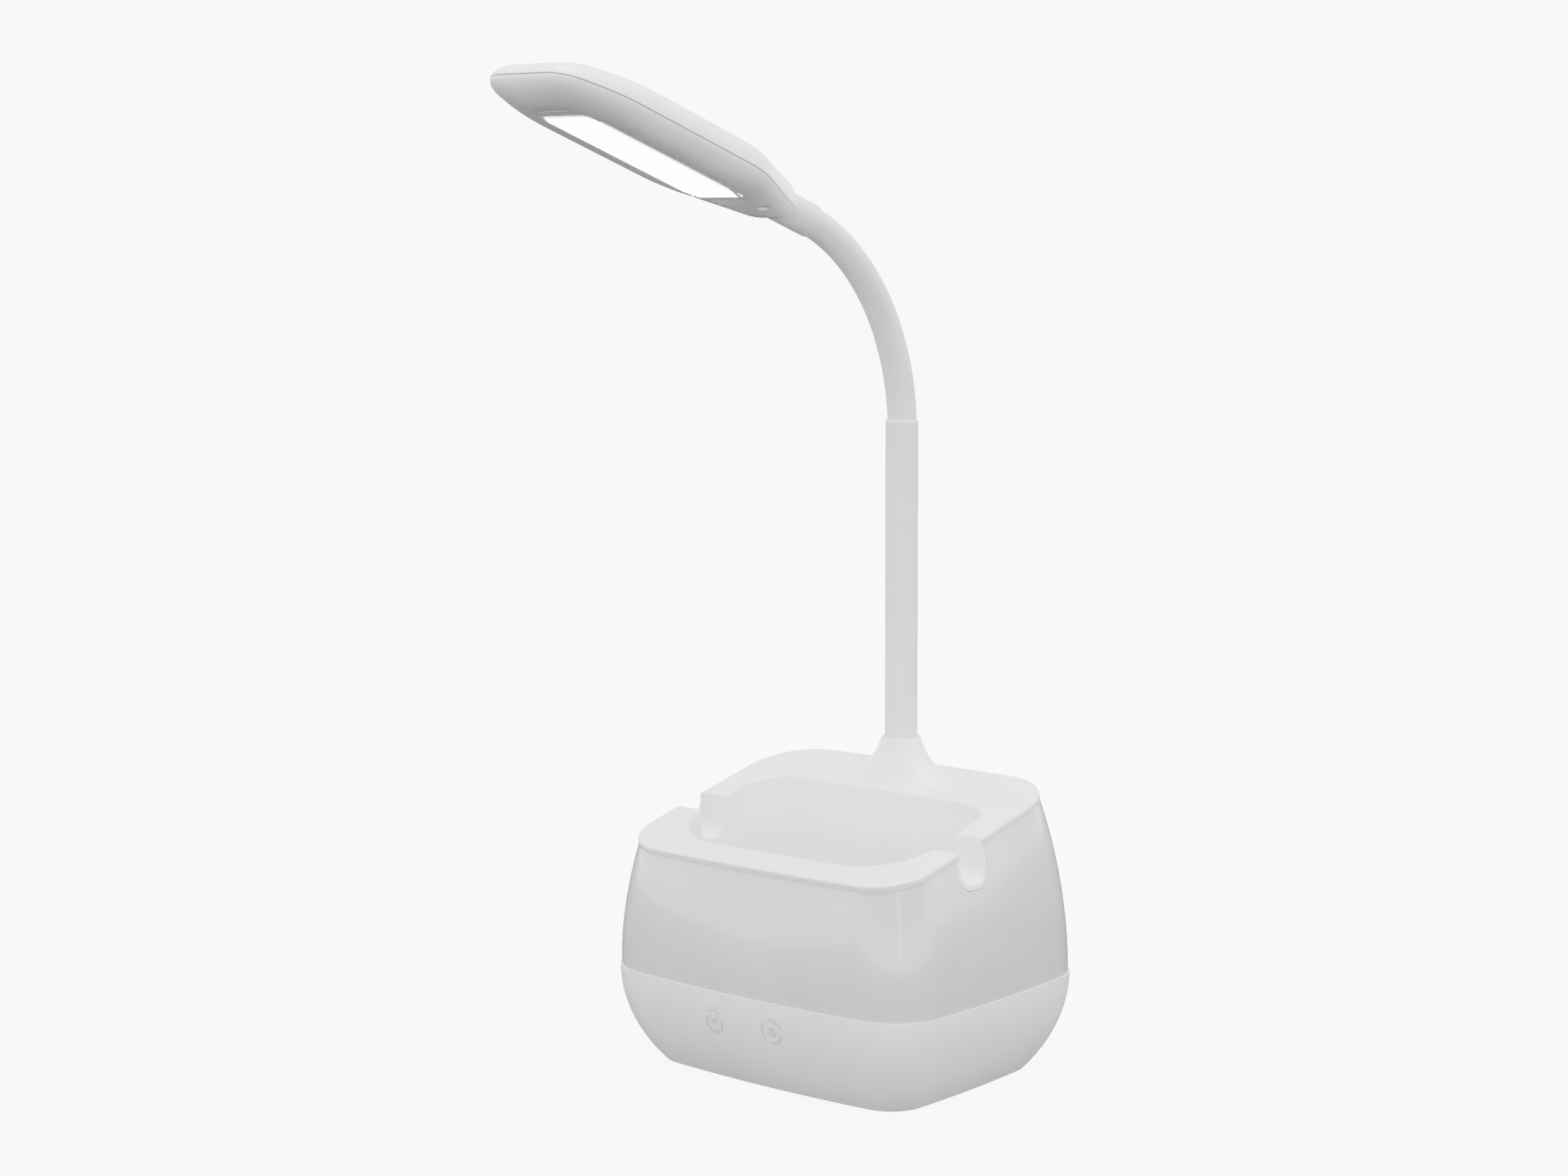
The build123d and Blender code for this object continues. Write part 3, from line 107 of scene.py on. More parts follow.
# ---------------------------------------------------------------- colours and materials
def linear(hex_colour):
    """An sRGB hex value as linear RGBA."""
    channels = [int(hex_colour[i:i + 2], 16) / 255 for i in (1, 3, 5)]
    return [c / 12.92 if c <= 0.04045 else ((c + 0.055) / 1.055) ** 2.4 for c in channels] + [1.0]


def add_node(tree, kind, settings=None, links=None):
    """Adds one shader node, sets its properties or sockets, and links its sockets from other nodes."""
    node = tree.nodes.new(kind)
    for name, value in (settings or {}).items():
        if isinstance(name, str) and hasattr(node, name):
            setattr(node, name, value)
        else:
            node.inputs[name].default_value = value
    for name, socket in (links or {}).items():
        tree.links.new(socket, node.inputs[name])
    return node


def new_material(name):
    """An empty node material, with its tree and the object coordinates in metres."""
    material = bpy.data.materials.new(name)
    material.use_nodes = True
    tree = material.node_tree
    tree.nodes.clear()
    place = add_node(tree, "ShaderNodeTexCoord").outputs["Object"]
    return material, tree, place


def colour(name, description, hex_colour):
    """A colour that the user can change."""
    return FloatVectorProperty(name=name, description=description, subtype="COLOR", size=4, min=0, max=1,
                               default=linear(hex_colour))


def finish_material(tree, shader):
    add_node(tree, "ShaderNodeOutputMaterial", links={"Surface": shader.outputs[0]})


def grain(tree, place, pitch_mm, detail=3.0):
    """Fine noise whose grains are about pitch_mm apart."""
    return add_node(tree, "ShaderNodeTexNoise", {"Scale": 1 / (pitch_mm * MM), "Detail": detail},
                    {"Vector": place}).outputs["Fac"]


def spread(tree, value, low, high):
    """Maps a noise value onto the span from low to high."""
    span = {"From Min": 0.3, "From Max": 0.7, "To Min": low, "To Max": high}
    return add_node(tree, "ShaderNodeMapRange", span, {"Value": value}).outputs["Result"]


def tint(tree, value, dark, light):
    """Blends two near colours by a noise value."""
    ramp = add_node(tree, "ShaderNodeValToRGB", links={"Fac": value})
    ramp.color_ramp.elements[0].position, ramp.color_ramp.elements[1].position = 0.3, 0.7
    ramp.color_ramp.elements[0].color, ramp.color_ramp.elements[1].color = dark, light
    return ramp.outputs["Color"]


def bumps(tree, height, depth_mm, softened=None):
    """Turns a noise value into a surface relief of depth_mm."""
    links = {"Height": height}
    if softened:
        links["Normal"] = softened
    relief = add_node(tree, "ShaderNodeBump", {"Strength": 1.0, "Distance": depth_mm * MM}, links)
    return relief.outputs["Normal"]


def moulded_edge(tree, radius_mm):
    """The small radius that a mould leaves on every edge."""
    return add_node(tree, "ShaderNodeBevel", {"samples": 4, "Radius": radius_mm * MM}).outputs["Normal"]


def near_plane(tree, place, point, normal, reach_mm):
    """One within reach_mm of a plane, and nothing past it."""
    above = add_node(tree, "ShaderNodeVectorMath", {"operation": "SUBTRACT"}, {0: place})
    above.inputs[1].default_value = point
    height = add_node(tree, "ShaderNodeVectorMath", {"operation": "DOT_PRODUCT"}, {0: above.outputs[0]})
    height.inputs[1].default_value = normal
    off = add_node(tree, "ShaderNodeMath", {"operation": "ABSOLUTE"}, {0: height.outputs["Value"]})
    near = add_node(tree, "ShaderNodeMath", {"operation": "LESS_THAN"}, {0: off.outputs[0]})
    near.inputs[1].default_value = reach_mm * MM
    return near.outputs[0]


def satin_abs(name, dark, light, roughness, joint=None):
    """Injection-moulded ABS: opaque, a fine spark-eroded texture that only shows where light grazes it.

    joint is a point and a normal: the plane in which two mouldings meet, along which a thin painted shadow
    darkens the colour.
    """
    material, tree, place = new_material(name)
    spark = grain(tree, place, 0.35)
    cloud = grain(tree, place, 22.0, 1.0)
    normal = bumps(tree, spark, 0.006, moulded_edge(tree, 0.35))
    paint = tint(tree, cloud, dark, light)
    if joint:
        # painted shadow: the colour is darkened within reach of the parting plane
        shadow = near_plane(tree, place, *joint, JOINT_REACH_MM)
        paint = add_node(tree, "ShaderNodeMixRGB", {"Color2": linear(PAINTED_JOINT_SHADOW)},
                         {"Color1": paint, "Fac": shadow}).outputs["Color"]
    shader = add_node(tree, "ShaderNodeBsdfPrincipled", {"IOR": 1.53},
                      {"Base Color": paint,
                       "Roughness": spread(tree, spark, roughness - 0.05, roughness + 0.05),
                       "Normal": normal})
    finish_material(tree, shader)
    return material


def milky_acrylic(name, dark, light):
    """Opal PMMA: a polished skin over a cloudy body, so light sinks in and the gloss stays sharp."""
    material, tree, place = new_material(name)
    cloud = grain(tree, place, 30.0, 1.0)
    ripple = grain(tree, place, 14.0, 1.0)
    shader = add_node(tree, "ShaderNodeBsdfPrincipled",
                      {"IOR": 1.49, "Subsurface Weight": 0.35, "Subsurface Scale": 0.004, "Coat Weight": 0.35,
                       "Coat Roughness": 0.05},
                      {"Base Color": tint(tree, cloud, dark, light),
                       "Roughness": spread(tree, ripple, 0.2, 0.26),
                       "Normal": bumps(tree, ripple, 0.02)})
    shader.inputs["Subsurface Radius"].default_value = (1.0, 1.0, 1.0)
    finish_material(tree, shader)
    return material


def silicone_rubber(name, dark, light):
    """Extruded silicone: soft matte skin that picks up a little dust, faintly velvety at the edge."""
    material, tree, place = new_material(name)
    skin = grain(tree, place, 0.5)
    cloud = grain(tree, place, 12.0, 2.0)
    shader = add_node(tree, "ShaderNodeBsdfPrincipled",
                      {"IOR": 1.41, "Sheen Weight": 0.12, "Sheen Roughness": 0.4},
                      {"Base Color": tint(tree, cloud, dark, light),
                       "Roughness": spread(tree, skin, 0.5, 0.62),
                       "Normal": bumps(tree, skin, 0.01)})
    finish_material(tree, shader)
    return material


def lit_opal(name, colour, strength):
    """Opal polycarbonate window with the lamp switched on: an even white glow."""
    material, tree, place = new_material(name)
    frost = grain(tree, place, 0.6)
    shader = add_node(tree, "ShaderNodeBsdfPrincipled",
                      {"IOR": 1.58, "Base Color": colour, "Emission Color": colour,
                       "Emission Strength": strength},
                      {"Roughness": spread(tree, frost, 0.3, 0.4), "Normal": bumps(tree, frost, 0.004)})
    finish_material(tree, shader)
    return material


def metal(name, tints, roughness, pitch_mm, relief_mm):
    """A metal with its own grain: plated screws, wound steel, cast weight or turned brass."""
    material, tree, place = new_material(name)
    scratches = grain(tree, place, pitch_mm)
    shader = add_node(tree, "ShaderNodeBsdfPrincipled", {"Metallic": 1.0},
                      {"Base Color": tint(tree, scratches, *map(linear, tints)),
                       "Roughness": spread(tree, scratches, *roughness),
                       "Normal": bumps(tree, scratches, relief_mm)})
    finish_material(tree, shader)
    return material


def dull_solid(name, tints, roughness, pitch_mm, relief_mm, ior):
    """Rubber, solder resist, shrink wrap and other quiet surfaces inside or under the lamp."""
    material, tree, place = new_material(name)
    mottle = grain(tree, place, pitch_mm)
    shader = add_node(tree, "ShaderNodeBsdfPrincipled", {"IOR": ior},
                      {"Base Color": tint(tree, mottle, *map(linear, tints)),
                       "Roughness": spread(tree, mottle, *roughness),
                       "Normal": bumps(tree, mottle, relief_mm)})
    finish_material(tree, shader)
    return material


def light_table(name, glow):
    """Pale acrylic table with light of its own, so that the floor runs into the white behind it."""
    material, tree, place = new_material(name)
    haze = grain(tree, place, 60.0, 1.0)
    shader = add_node(tree, "ShaderNodeBsdfPrincipled",
                      {"IOR": 1.49, "Emission Color": linear("#FFFFFF"), "Emission Strength": glow},
                      {"Base Color": tint(tree, haze, linear("#B0B0B0"), linear("#B4B4B4")),
                       "Roughness": spread(tree, haze, 0.7, 0.8)})
    finish_material(tree, shader)
    return material


def screen_ink(name, colour):
    """Pad-printed ink: thin, flat and slightly duller than the plastic under it."""
    material, tree, place = new_material(name)
    speck = grain(tree, place, 0.2)
    shader = add_node(tree, "ShaderNodeBsdfPrincipled", {"IOR": 1.5, "Base Color": colour},
                      {"Roughness": spread(tree, speck, 0.45, 0.6)})
    finish_material(tree, shader)
    return material


# ---------------------------------------------------------------- mesh helpers
def piece_from(bm, name, material):
    """Makes a smooth shaded piece of a bmesh, sharp only at real corners, with its place in its mesh."""
    bmesh.ops.recalc_face_normals(bm, faces=bm.faces)
    for face in bm.faces:
        face.smooth = True
    for edge in bm.edges:
        edge.smooth = not (edge.is_manifold and edge.calc_face_angle() > SHARP_EDGE)
    mesh = bpy.data.meshes.new(name)
    bm.to_mesh(mesh)
    bm.free()
    piece = bpy.data.objects.new(name, mesh)
    bpy.context.scene.collection.objects.link(piece)
    mesh.materials.append(material)
    return piece


def dress(node, material):
    """Gives a CAD node its finish."""
    piece = frame["nodes"][node]
    piece.data.materials.clear()
    piece.data.materials.append(material)
    return piece


# ---------------------------------------------------------------- settings
class NeckSettings(bpy.types.PropertyGroup):
    skin_segments: IntProperty(name="Skin segments", description="Faces round the silicone skin",
                               default=48, min=12, max=128)
    skin_step: FloatProperty(name="Skin step", description="Angle between two rings of the skin",
                             default=radians(0.95), min=0.002, max=0.2, subtype="ANGLE")
    seat: FloatProperty(name="Skin seat", description="Depth that the skin sits in the straight sleeve",
                        default=1.0 * MM, min=0, unit="LENGTH")
    skin_dark: colour("Skin shadow tint", "Darker tint of the silicone", "#D2D3D4")
    skin_light: colour("Skin tint", "Lighter tint of the silicone", "#DADBDC")


class ShellSettings(bpy.types.PropertyGroup):
    white_dark: colour("White shadow tint", "Darker tint of the white ABS", "#E9EAEA")
    white_light: colour("White tint", "Lighter tint of the white ABS", "#EFF0F0")
    shade_dark: colour("Shade shadow tint", "Darker tint of the shade", "#BEBFC0")
    shade_light: colour("Shade tint", "Lighter tint of the shade", "#C4C5C6")


class PanelSettings(bpy.types.PropertyGroup):
    glow: FloatProperty(name="Glow", description="Emission strength of the light window", default=14.0, min=0,
                        max=50)
    light: colour("Light colour", "Colour of the lit window", "#FFFFFF")
    lip_width: FloatProperty(name="Lip width", description="Width of the bright lip round the window",
                               default=0.45 * MM, min=0, max=5 * MM, unit="LENGTH")
    lip_height: FloatProperty(name="Lip height", description="How far the lip stands out of the window",
                               default=0.25 * MM, min=0, max=1 * MM, unit="LENGTH")
    lip_dark: colour("Lip shadow tint", "Darker tint of the lip", "#F0F0F0")
    lip_light: colour("Lip tint", "Lighter tint of the lip", "#F6F6F6")


class IconSettings(bpy.types.PropertyGroup):
    line: FloatProperty(name="Line width", description="Width of a printed line", default=0.3 * MM,
                        min=0.05 * MM, max=2 * MM, unit="LENGTH")
    lamp_x: FloatProperty(name="Lamp icon", description="Lamp icon's middle, from the middle line",
                          default=-13.3 * MM, unit="LENGTH")
    night_x: FloatProperty(name="Night icon", description="Night icon's middle, from the middle line",
                           default=13.6 * MM, unit="LENGTH")
    height: FloatProperty(name="Icon height", description="Middle of both icons above the desk",
                          default=26.2 * MM, unit="LENGTH")
    radius: FloatProperty(name="Night icon radius", description="Radius of the night icon's ring",
                          default=4.6 * MM, unit="LENGTH")
    ink: colour("Ink", "Colour of the printed lines", "#A4A6A8")


class StageSettings(bpy.types.PropertyGroup):
    horizon: FloatProperty(name="Light all round", description="Strength of the tent at the horizon",
                           default=9.5, min=0)
    sky: FloatProperty(name="Light from above", description="Strength of the tent overhead", default=1.5,
                       min=0)
    below: FloatProperty(name="Light from below", description="Strength of the light that undersides get",
                         default=0.1, min=0)
    floor_glow: FloatProperty(name="Floor glow", description="Light of the floor's own, as a light table's",
                              default=8.3, min=0)
    key: FloatProperty(name="Overhead light", description="Power of the large softbox above", default=60.0,
                       min=0, unit="POWER")
    strip: FloatProperty(name="Strip light", description="Power of the tall softbox near the camera",
                         default=4.0, min=0, unit="POWER")
    lens: FloatProperty(name="Lens", description="Focal length of the camera in millimetres",
                        default=67.6, min=10)
    camera: FloatVectorProperty(name="Camera place", description="Where the camera stands",
                                default=(0.66386, -0.82348, 0.30965), subtype="XYZ", unit="LENGTH")
    heading: FloatProperty(name="Heading", description="Camera's turn from looking along +Y",
                           default=radians(40.05), subtype="ANGLE")
    pitch: FloatProperty(name="Pitch", description="How far the camera looks down",
                         default=radians(7.18), subtype="ANGLE")
    roll: FloatProperty(name="Roll", description="Camera's roll", default=radians(-0.13), subtype="ANGLE")


# ---------------------------------------------------------------- pieces
class DESKLAMP_OT_housings(bpy.types.Operator):
    """Gives the bowl, the tray, the shade and the head shells their moulded plastics"""
    bl_idname = "desklamp.housings"
    bl_label = "Housings"

    def execute(self, context):
        look = context.scene.desklamp_shell
        white = satin_abs("white ABS, satin", look.white_dark, look.white_light, 0.36)
        for node in ("base_bowl", "top_tray"):
            dress(node, white)
        # the head shells' parting line gets a painted shadow in this material
        jointed = satin_abs("white ABS, satin, with the head's parting line", look.white_dark,
                            look.white_light, 0.36, self.parting_plane())
        for node in ("head_lower_shell", "head_upper_shell"):
            dress(node, jointed)
        dress("light_shade", milky_acrylic("milky acrylic, polished", look.shade_dark, look.shade_light))
        inner = satin_abs("natural ABS, inside", linear("#CFCFCB"), linear("#DADAD6"), 0.45)
        for node in ("chassis_plate", "reflector_frame"):
            dress(node, inner)
        return {"FINISHED"}

    def parting_plane(self):
        """The head is widest where its shells meet, and square to the end of the bend."""
        widest = max((vert.co for vert in frame["nodes"]["head_lower_shell"].data.vertices),
                     key=lambda place: place.x)
        start, second = (bend_tilt(point) for point in HINGE_POINTS[:2])
        end = start + len(SLEEVES) * (second - start)
        return widest, Vector((0, cos(end), sin(end)))


class DESKLAMP_OT_inner_works(bpy.types.Operator):
    """Gives the screws, boards, cell, weight and other inner pieces their materials"""
    bl_idname = "desklamp.inner_works"
    bl_label = "Inner works"

    def execute(self, context):
        plated = metal("zinc plated steel", ("#A9ABAE", "#BFC1C4"), (0.25, 0.4), 0.4, 0.01)
        wound = metal("wound spring steel", ("#8E9092", "#A6A8AA"), (0.3, 0.45), 0.3, 0.01)
        board = dull_solid("solder resist on FR4", ("#0E4A22", "#14602D"), (0.3, 0.42), 2.0, 0.01, 1.5)
        phosphor = dull_solid("phosphor lens", ("#E9DC8A", "#F2E7A0"), (0.2, 0.3), 0.5, 0.004, 1.53)
        finishes = {
            "base_pad": dull_solid("EVA foam rubber", ("#1E1E1F", "#29292A"), (0.8, 0.95), 0.6, 0.05, 1.5),
            "counterweight": metal("cast iron, raw", ("#3A3B3D", "#4C4D4F"), (0.55, 0.8), 1.2, 0.08),
            "battery_cell": dull_solid("PVC shrink wrap", ("#2A5F9E", "#3169AA"), (0.22, 0.32), 4.0, 0.01,
                                       1.53),
            "battery_holder": dull_solid("filled nylon", ("#17181A", "#202124"), (0.45, 0.6), 0.5, 0.02,
                                         1.53),
            "touch_pads": metal("bare copper", ("#B0714C", "#C9875F"), (0.3, 0.45), 0.5, 0.005),
            "neck_ferrule": metal("turned brass", ("#B08D4C", "#CBA862"), (0.2, 0.35), 0.3, 0.008),
            "head_screws": dull_solid("black oxide steel", ("#0E0E0F", "#161617"), (0.5, 0.65), 0.3, 0.01,
                                      2.0),
        }
        finishes.update({node: phosphor for node in ("night_leds", "head_leds")})
        finishes.update({node: board for node in ("main_board", "touch_board", "night_light_board",
                                                  "led_board")})
        finishes.update({node: wound for node in HOSES})
        for node in ("base_screws", "weight_screws", "board_screws", "tray_screws", "neck_stud",
                     "neck_washer", "neck_nut", "usb_inlet"):
            finishes[node] = plated
        for node, material in finishes.items():
            dress(node, material)
        return {"FINISHED"}


class DESKLAMP_OT_neck(bpy.types.Operator):
    """Builds the smooth silicone skin of the gooseneck, one stretch across each hinge"""
    bl_idname = "desklamp.neck"
    bl_label = "Neck"

    def execute(self, context):
        look = context.scene.desklamp_neck
        silicone = silicone_rubber("silicone sleeve", look.skin_dark, look.skin_light)
        for node in ("lower_sleeve", "neck_collar"):
            dress(node, silicone)
        link = bend_tilt(HINGE_POINTS[1]) - bend_tilt(HINGE_POINTS[0])
        start = bend_tilt(HINGE_POINTS[0])
        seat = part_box("lower_sleeve")[1].z - look.seat - HINGE_POINTS[0].z
        for number, sleeve in enumerate(SLEEVES):
            low = start + (number - 0.5) * link if number else start + seat / BEND_RADIUS
            high = start + (number + 0.5) * link
            if number == len(SLEEVES) - 1:
                high = start + (number + LAST_STRETCH) * link
            skin = self.stretch(f"neck_skin_{number + 1:02d}", low, high, look, silicone, sleeve)
            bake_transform(skin)
            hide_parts(sleeve)
        return {"FINISHED"}

    def on_bend(self, tilt):
        return BEND_CENTRE + Vector((0, cos(tilt), sin(tilt))) * BEND_RADIUS

    def stretch(self, name, low, high, look, silicone, sleeve):
        """Ring section of the sleeve, spun round the bend's centre from one tilt to the other."""
        outer = node_radius(sleeve)
        inner = node_radius("lower_hose") + HOSE_CLEARANCE
        bm = bmesh.new()
        rims = []
        for radius in (outer, inner):
            ring = bmesh.ops.create_circle(bm, segments=look.skin_segments, radius=radius)["verts"]
            rims += list({edge for vert in ring for edge in vert.link_edges})
        bmesh.ops.bridge_loops(bm, edges=rims)
        place = Matrix.Translation(self.on_bend(low)) @ Matrix.Rotation(low, 4, "X")
        bmesh.ops.transform(bm, matrix=place, verts=bm.verts)
        rings = max(4, round((high - low) / look.skin_step))
        bmesh.ops.spin(bm, geom=bm.faces[:], cent=BEND_CENTRE, axis=SIDEWAYS, angle=high - low, steps=rings,
                       use_merge=False, use_duplicate=False)
        return piece_from(bm, name, silicone)


class DESKLAMP_OT_light_window(bpy.types.Operator):
    """Lights the window under the head and lays its bright lip round it"""
    bl_idname = "desklamp.light_window"
    bl_label = "Light window"

    def execute(self, context):
        look = context.scene.desklamp_panel
        window = dress("diffuser_panel", lit_opal("opal polycarbonate, lit", look.light, look.glow))
        edge = satin_abs("white ABS, polished lip", look.lip_dark, look.lip_light, 0.2)
        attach(piece_from(self.lip(window, look), "window_lip", edge), "head")
        return {"FINISHED"}

    def lip(self, window, look):
        """Raised lip along the window's own outline, on its outer face."""
        bm = bmesh.new()
        bm.from_mesh(window.data)
        bmesh.ops.remove_doubles(bm, verts=bm.verts, dist=0.001 * MM)
        bm.normal_update()
        down = min((face.normal.copy() for face in bm.faces if face.calc_area() > 50 * MM * MM),
                   key=lambda normal: normal.z)
        outer = max(down.dot(vert.co) for vert in bm.verts)
        inside = [face for face in bm.faces
                  if any(down.dot(vert.co) < outer - 0.01 * MM for vert in face.verts)]
        bmesh.ops.delete(bm, geom=inside, context="FACES")
        bmesh.ops.dissolve_faces(bm, faces=bm.faces[:])
        middle = bm.faces[:]
        bmesh.ops.inset_region(bm, faces=middle, thickness=look.lip_width, use_boundary=True,
                               use_even_offset=True)
        bmesh.ops.delete(bm, geom=middle, context="FACES")
        grown = bmesh.ops.extrude_face_region(bm, geom=bm.faces[:])["geom"]
        front = [vert for vert in grown if isinstance(vert, bmesh.types.BMVert)]
        bmesh.ops.translate(bm, vec=down * look.lip_height, verts=front)
        return bm


class DESKLAMP_OT_icons(bpy.types.Operator):
    """Prints the two touch icons on the front of the bowl"""
    bl_idname = "desklamp.icons"
    bl_label = "Touch icons"

    def execute(self, context):
        look = context.scene.desklamp_icons
        ink = screen_ink("grey pad-printed ink", look.ink)
        bowl = frame["nodes"]["base_bowl"]
        surface = BVHTree.FromObject(bowl, context.evaluated_depsgraph_get())
        for name, draw, x in (("lamp_icon", self.lamp, look.lamp_x),
                              ("night_icon", self.night, look.night_x)):
            bm = bmesh.new()
            draw(bm, look)
            bmesh.ops.translate(bm, vec=(x, 0, look.height), verts=bm.verts)
            self.lay_on(bm, surface)
            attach(piece_from(bm, name, ink), "base")
        return {"FINISHED"}

    def arc(self, bm, look, centre, radius, start, sweep):
        """A printed arc: a short radial edge spun round its centre, in the XZ plane."""
        across = Vector((cos(start), 0, sin(start)))
        middle = Vector((centre[0], 0, centre[1]))
        ends = [bm.verts.new(middle + across * (radius + side * look.line / 2)) for side in (-1, 1)]
        edge = bm.edges.new(ends)
        steps = max(3, round(sweep * radius / (0.4 * MM)))
        bmesh.ops.spin(bm, geom=[edge, *ends], cent=middle, axis=(0, -1, 0), angle=sweep, steps=steps,
                       use_merge=sweep > 1.99 * pi, use_duplicate=False)

    def stroke(self, bm, look, start, end):
        """A printed straight line between two points of the XZ plane."""
        begin, finish = (Vector((p[0], 0, p[1])) for p in (start, end))
        along = finish - begin
        side = Vector((along.z, 0, -along.x)).normalized() * look.line / 2
        edge = bm.edges.new([bm.verts.new(begin - side), bm.verts.new(begin + side)])
        grown = bmesh.ops.extrude_edge_only(bm, edges=[edge])["geom"]
        bmesh.ops.translate(bm, vec=along, verts=[v for v in grown if isinstance(v, bmesh.types.BMVert)])

    def lamp(self, bm, look):
        """A bulb with five rays, standing in an open ring."""
        bulb, rise = 1.9 * MM, 1.6 * MM
        self.arc(bm, look, (0, rise), bulb, radians(-55), radians(290))
        neck = bulb * cos(radians(55))
        foot = rise - bulb * sin(radians(55))
        for side in (-1, 1):
            self.stroke(bm, look, (side * neck, foot), (side * neck, foot - 1.5 * MM))
        for step in range(3):
            level = foot - (0.4 + 0.55 * step) * MM
            self.stroke(bm, look, (-neck, level), (neck, level))
        for ray in range(5):
            angle = radians(90 + (ray - 2) * 36)
            ends = [(cos(angle) * reach, rise + sin(angle) * reach) for reach in (2.7 * MM, 3.9 * MM)]
            self.stroke(bm, look, *ends)
        for radius in (3.3 * MM, 3.9 * MM):
            self.arc(bm, look, (0, -1.6 * MM), radius, radians(150), radians(240))

    def night(self, bm, look):
        """A crescent and three small lights inside three arcs."""
        for part in range(3):
            for radius in (look.radius, look.radius - 0.7 * MM):
                self.arc(bm, look, (0, 0), radius, radians(20 + 120 * part), radians(85))
        self.arc(bm, look, (0, -0.2 * MM), 1.7 * MM, radians(150), radians(235))
        self.arc(bm, look, (0.35 * MM, 0.35 * MM), 1.45 * MM, radians(185), radians(165))
        for x, z, radius in ((-0.4, 1.0, 0.45), (0.9, 0.9, 0.4), (0.3, 0.1, 0.35)):
            self.arc(bm, look, (x * MM, z * MM), radius * MM, 0, 2 * pi)

    def lay_on(self, bm, surface):
        """Drops the flat print onto the bowl's front, then gives it the thickness of ink."""
        for vert in bm.verts:
            hit, normal, _, _ = surface.ray_cast(Vector((vert.co.x, -0.2, vert.co.z)), Vector((0, 1, 0)))
            if hit is None:
                raise RuntimeError("an icon reaches past the bowl")
            vert.co = hit + normal * 0.03 * MM
        grown = bmesh.ops.extrude_face_region(bm, geom=bm.faces[:])["geom"]
        behind = [vert for vert in grown if isinstance(vert, bmesh.types.BMVert)]
        bmesh.ops.translate(bm, vec=(0, 0.1 * MM, 0), verts=behind)


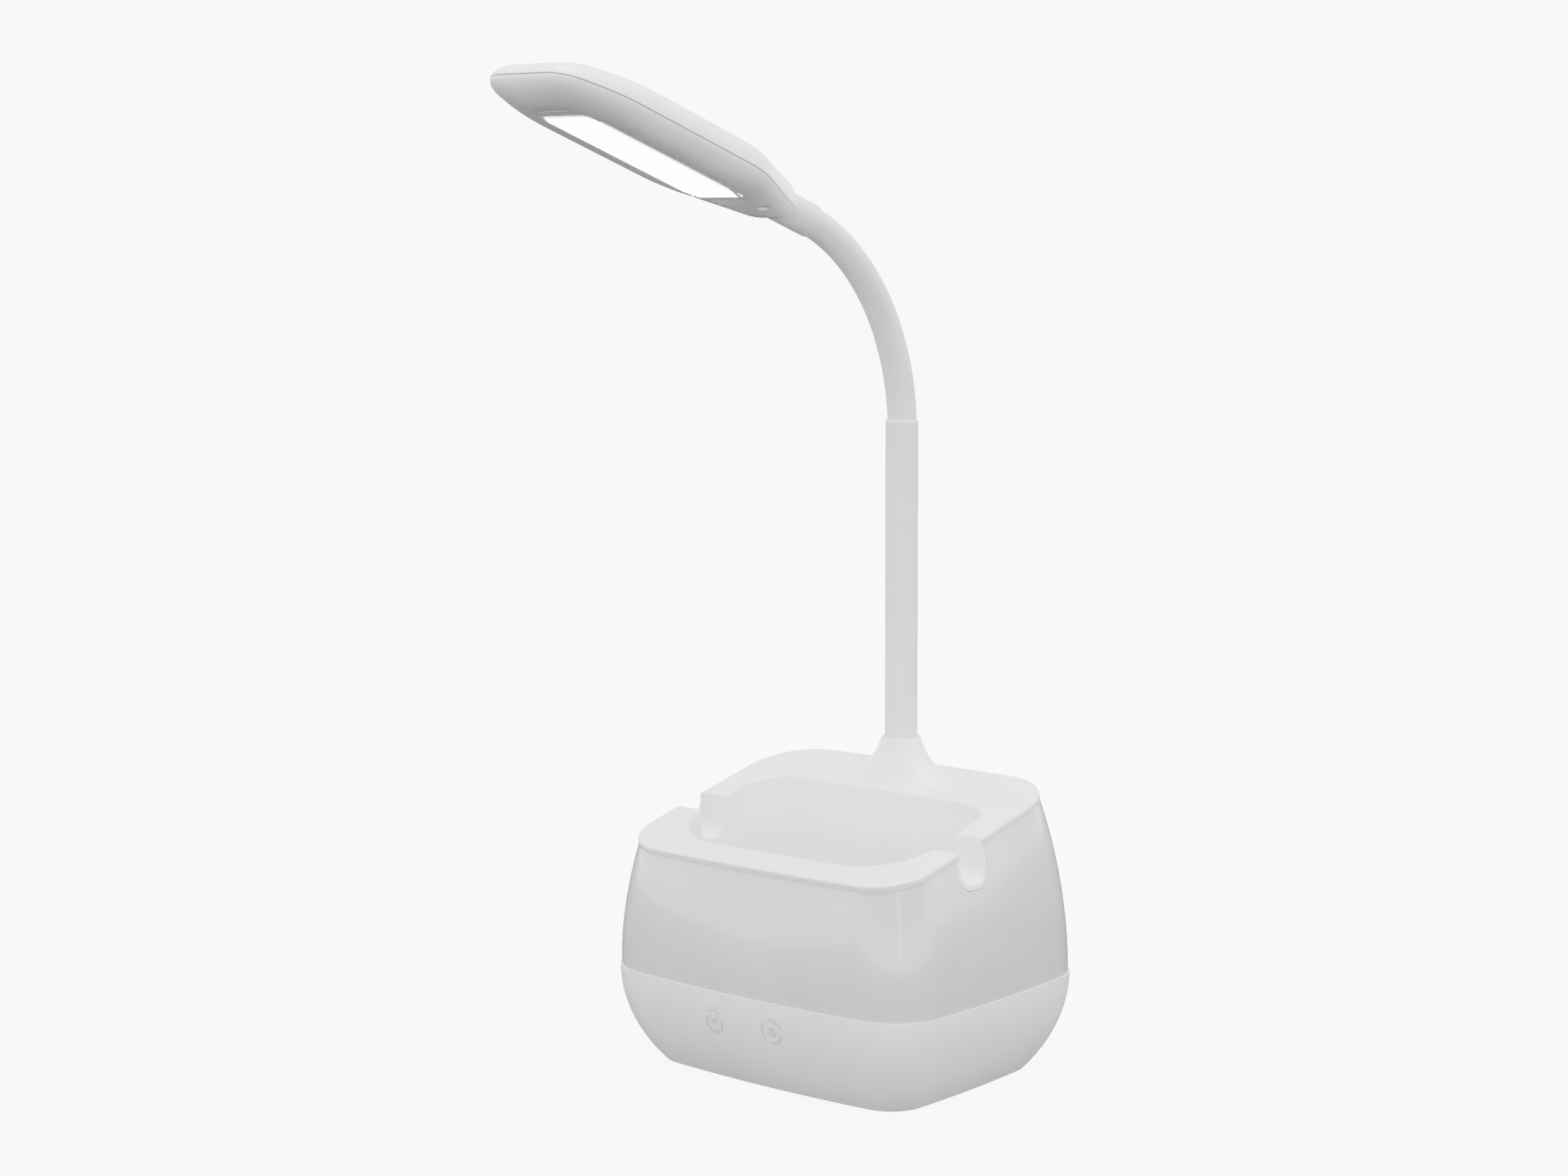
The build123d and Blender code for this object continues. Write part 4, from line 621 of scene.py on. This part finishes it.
class DESKLAMP_OT_stage(bpy.types.Operator):
    """Sets the floor, the soft light and the camera"""
    bl_idname = "desklamp.stage"
    bl_label = "Stage"

    def execute(self, context):
        look = context.scene.desklamp_stage
        bm = bmesh.new()
        bmesh.ops.create_circle(bm, segments=96, radius=FLOOR_RADIUS, cap_ends=True)
        table = light_table("pale light table", look.floor_glow)
        floor = piece_from(bm, "studio_floor", table)
        floor.visible_diffuse = False
        floor.visible_glossy = False
        self.light_tent(context, look)
        self.softbox("overhead_softbox", KEY_PLACE, *KEY_SIZE, look.key)
        self.softbox("strip_softbox", STRIP_PLACE, *STRIP_SIZE, look.strip)
        camera = bpy.data.objects.new("photo_camera", bpy.data.cameras.new("photo_camera"))
        context.scene.collection.objects.link(camera)
        camera.data.sensor_width = 36.0
        camera.data.lens = look.lens
        camera.data.clip_start = 0.02
        turn = Matrix.Rotation(look.heading, 4, "Z") @ Matrix.Rotation(radians(90) - look.pitch, 4, "X")
        camera.matrix_world = Matrix.Translation(look.camera) @ turn @ Matrix.Rotation(look.roll, 4, "Z")
        context.scene.camera = camera
        return {"FINISHED"}

    def light_tent(self, context, look):
        """White light all round: bright at the horizon, softer overhead and faint from below."""
        world = bpy.data.worlds.new("light_tent")
        context.scene.world = world
        world.use_nodes = True
        tree = world.node_tree
        tree.nodes.clear()
        direction = add_node(tree, "ShaderNodeTexCoord").outputs["Generated"]
        height = add_node(tree, "ShaderNodeSeparateXYZ", links={"Vector": direction}).outputs["Z"]
        dimmer = [add_node(tree, "ShaderNodeMapRange",
                           {"From Min": low, "From Max": high, "To Min": at_low, "To Max": at_high},
                           {"Value": height}).outputs["Result"]
                  for low, high, at_low, at_high in ((*UNDER_FLOOR, look.below, look.horizon),
                                                     (*BAND_TOP, look.horizon, look.sky))]
        strength = add_node(tree, "ShaderNodeMath", {"operation": "MINIMUM"})
        for socket, level in zip(strength.inputs, dimmer):
            tree.links.new(level, socket)
        tent = add_node(tree, "ShaderNodeBackground", {"Color": linear("#FFFFFF")},
                        {"Strength": strength.outputs[0]})
        add_node(tree, "ShaderNodeOutputWorld", links={"Surface": tent.outputs[0]})

    def softbox(self, name, place, width, height, power):
        """A rectangular soft light that faces the lamp."""
        light = bpy.data.lights.new(name, "AREA")
        light.shape = "RECTANGLE"
        light.size, light.size_y = width, height
        light.energy = power
        lamp = bpy.data.objects.new(name, light)
        bpy.context.scene.collection.objects.link(lamp)
        lamp.location = place
        lamp.rotation_euler = (LIGHT_AIM - place).to_track_quat("-Z", "Y").to_euler()


class DESKLAMP_PT_sidebar(bpy.types.Panel):
    bl_idname = "DESKLAMP_PT_sidebar"
    bl_label = "Desk Lamp"
    bl_space_type = "VIEW_3D"
    bl_region_type = "UI"
    bl_category = "Desk Lamp"

    def draw(self, context):
        for operator in OPERATORS:
            self.layout.operator(operator.bl_idname)
        for name in SETTINGS:
            group = getattr(context.scene, name)
            box = self.layout.box()
            for prop in group.bl_rna.properties:
                if prop.identifier not in ("rna_type", "name"):
                    box.prop(group, prop.identifier)


SETTINGS = {"desklamp_neck": NeckSettings, "desklamp_shell": ShellSettings, "desklamp_panel": PanelSettings,
            "desklamp_icons": IconSettings, "desklamp_stage": StageSettings}
OPERATORS = (DESKLAMP_OT_stage, DESKLAMP_OT_housings, DESKLAMP_OT_inner_works, DESKLAMP_OT_neck,
             DESKLAMP_OT_light_window, DESKLAMP_OT_icons)


def register():
    for group in (*SETTINGS.values(), *OPERATORS, DESKLAMP_PT_sidebar):
        bpy.utils.register_class(group)
    for name, group in SETTINGS.items():
        setattr(bpy.types.Scene, name, PointerProperty(type=group))


def unregister():
    for name in SETTINGS:
        delattr(bpy.types.Scene, name)
    for group in (DESKLAMP_PT_sidebar, *reversed(OPERATORS), *reversed(SETTINGS.values())):
        bpy.utils.unregister_class(group)


def main():
    register()
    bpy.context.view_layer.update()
    for operator in OPERATORS:
        family, call = operator.bl_idname.split(".")
        getattr(getattr(bpy.ops, family), call)()


if __name__ == "__main__":
    main()
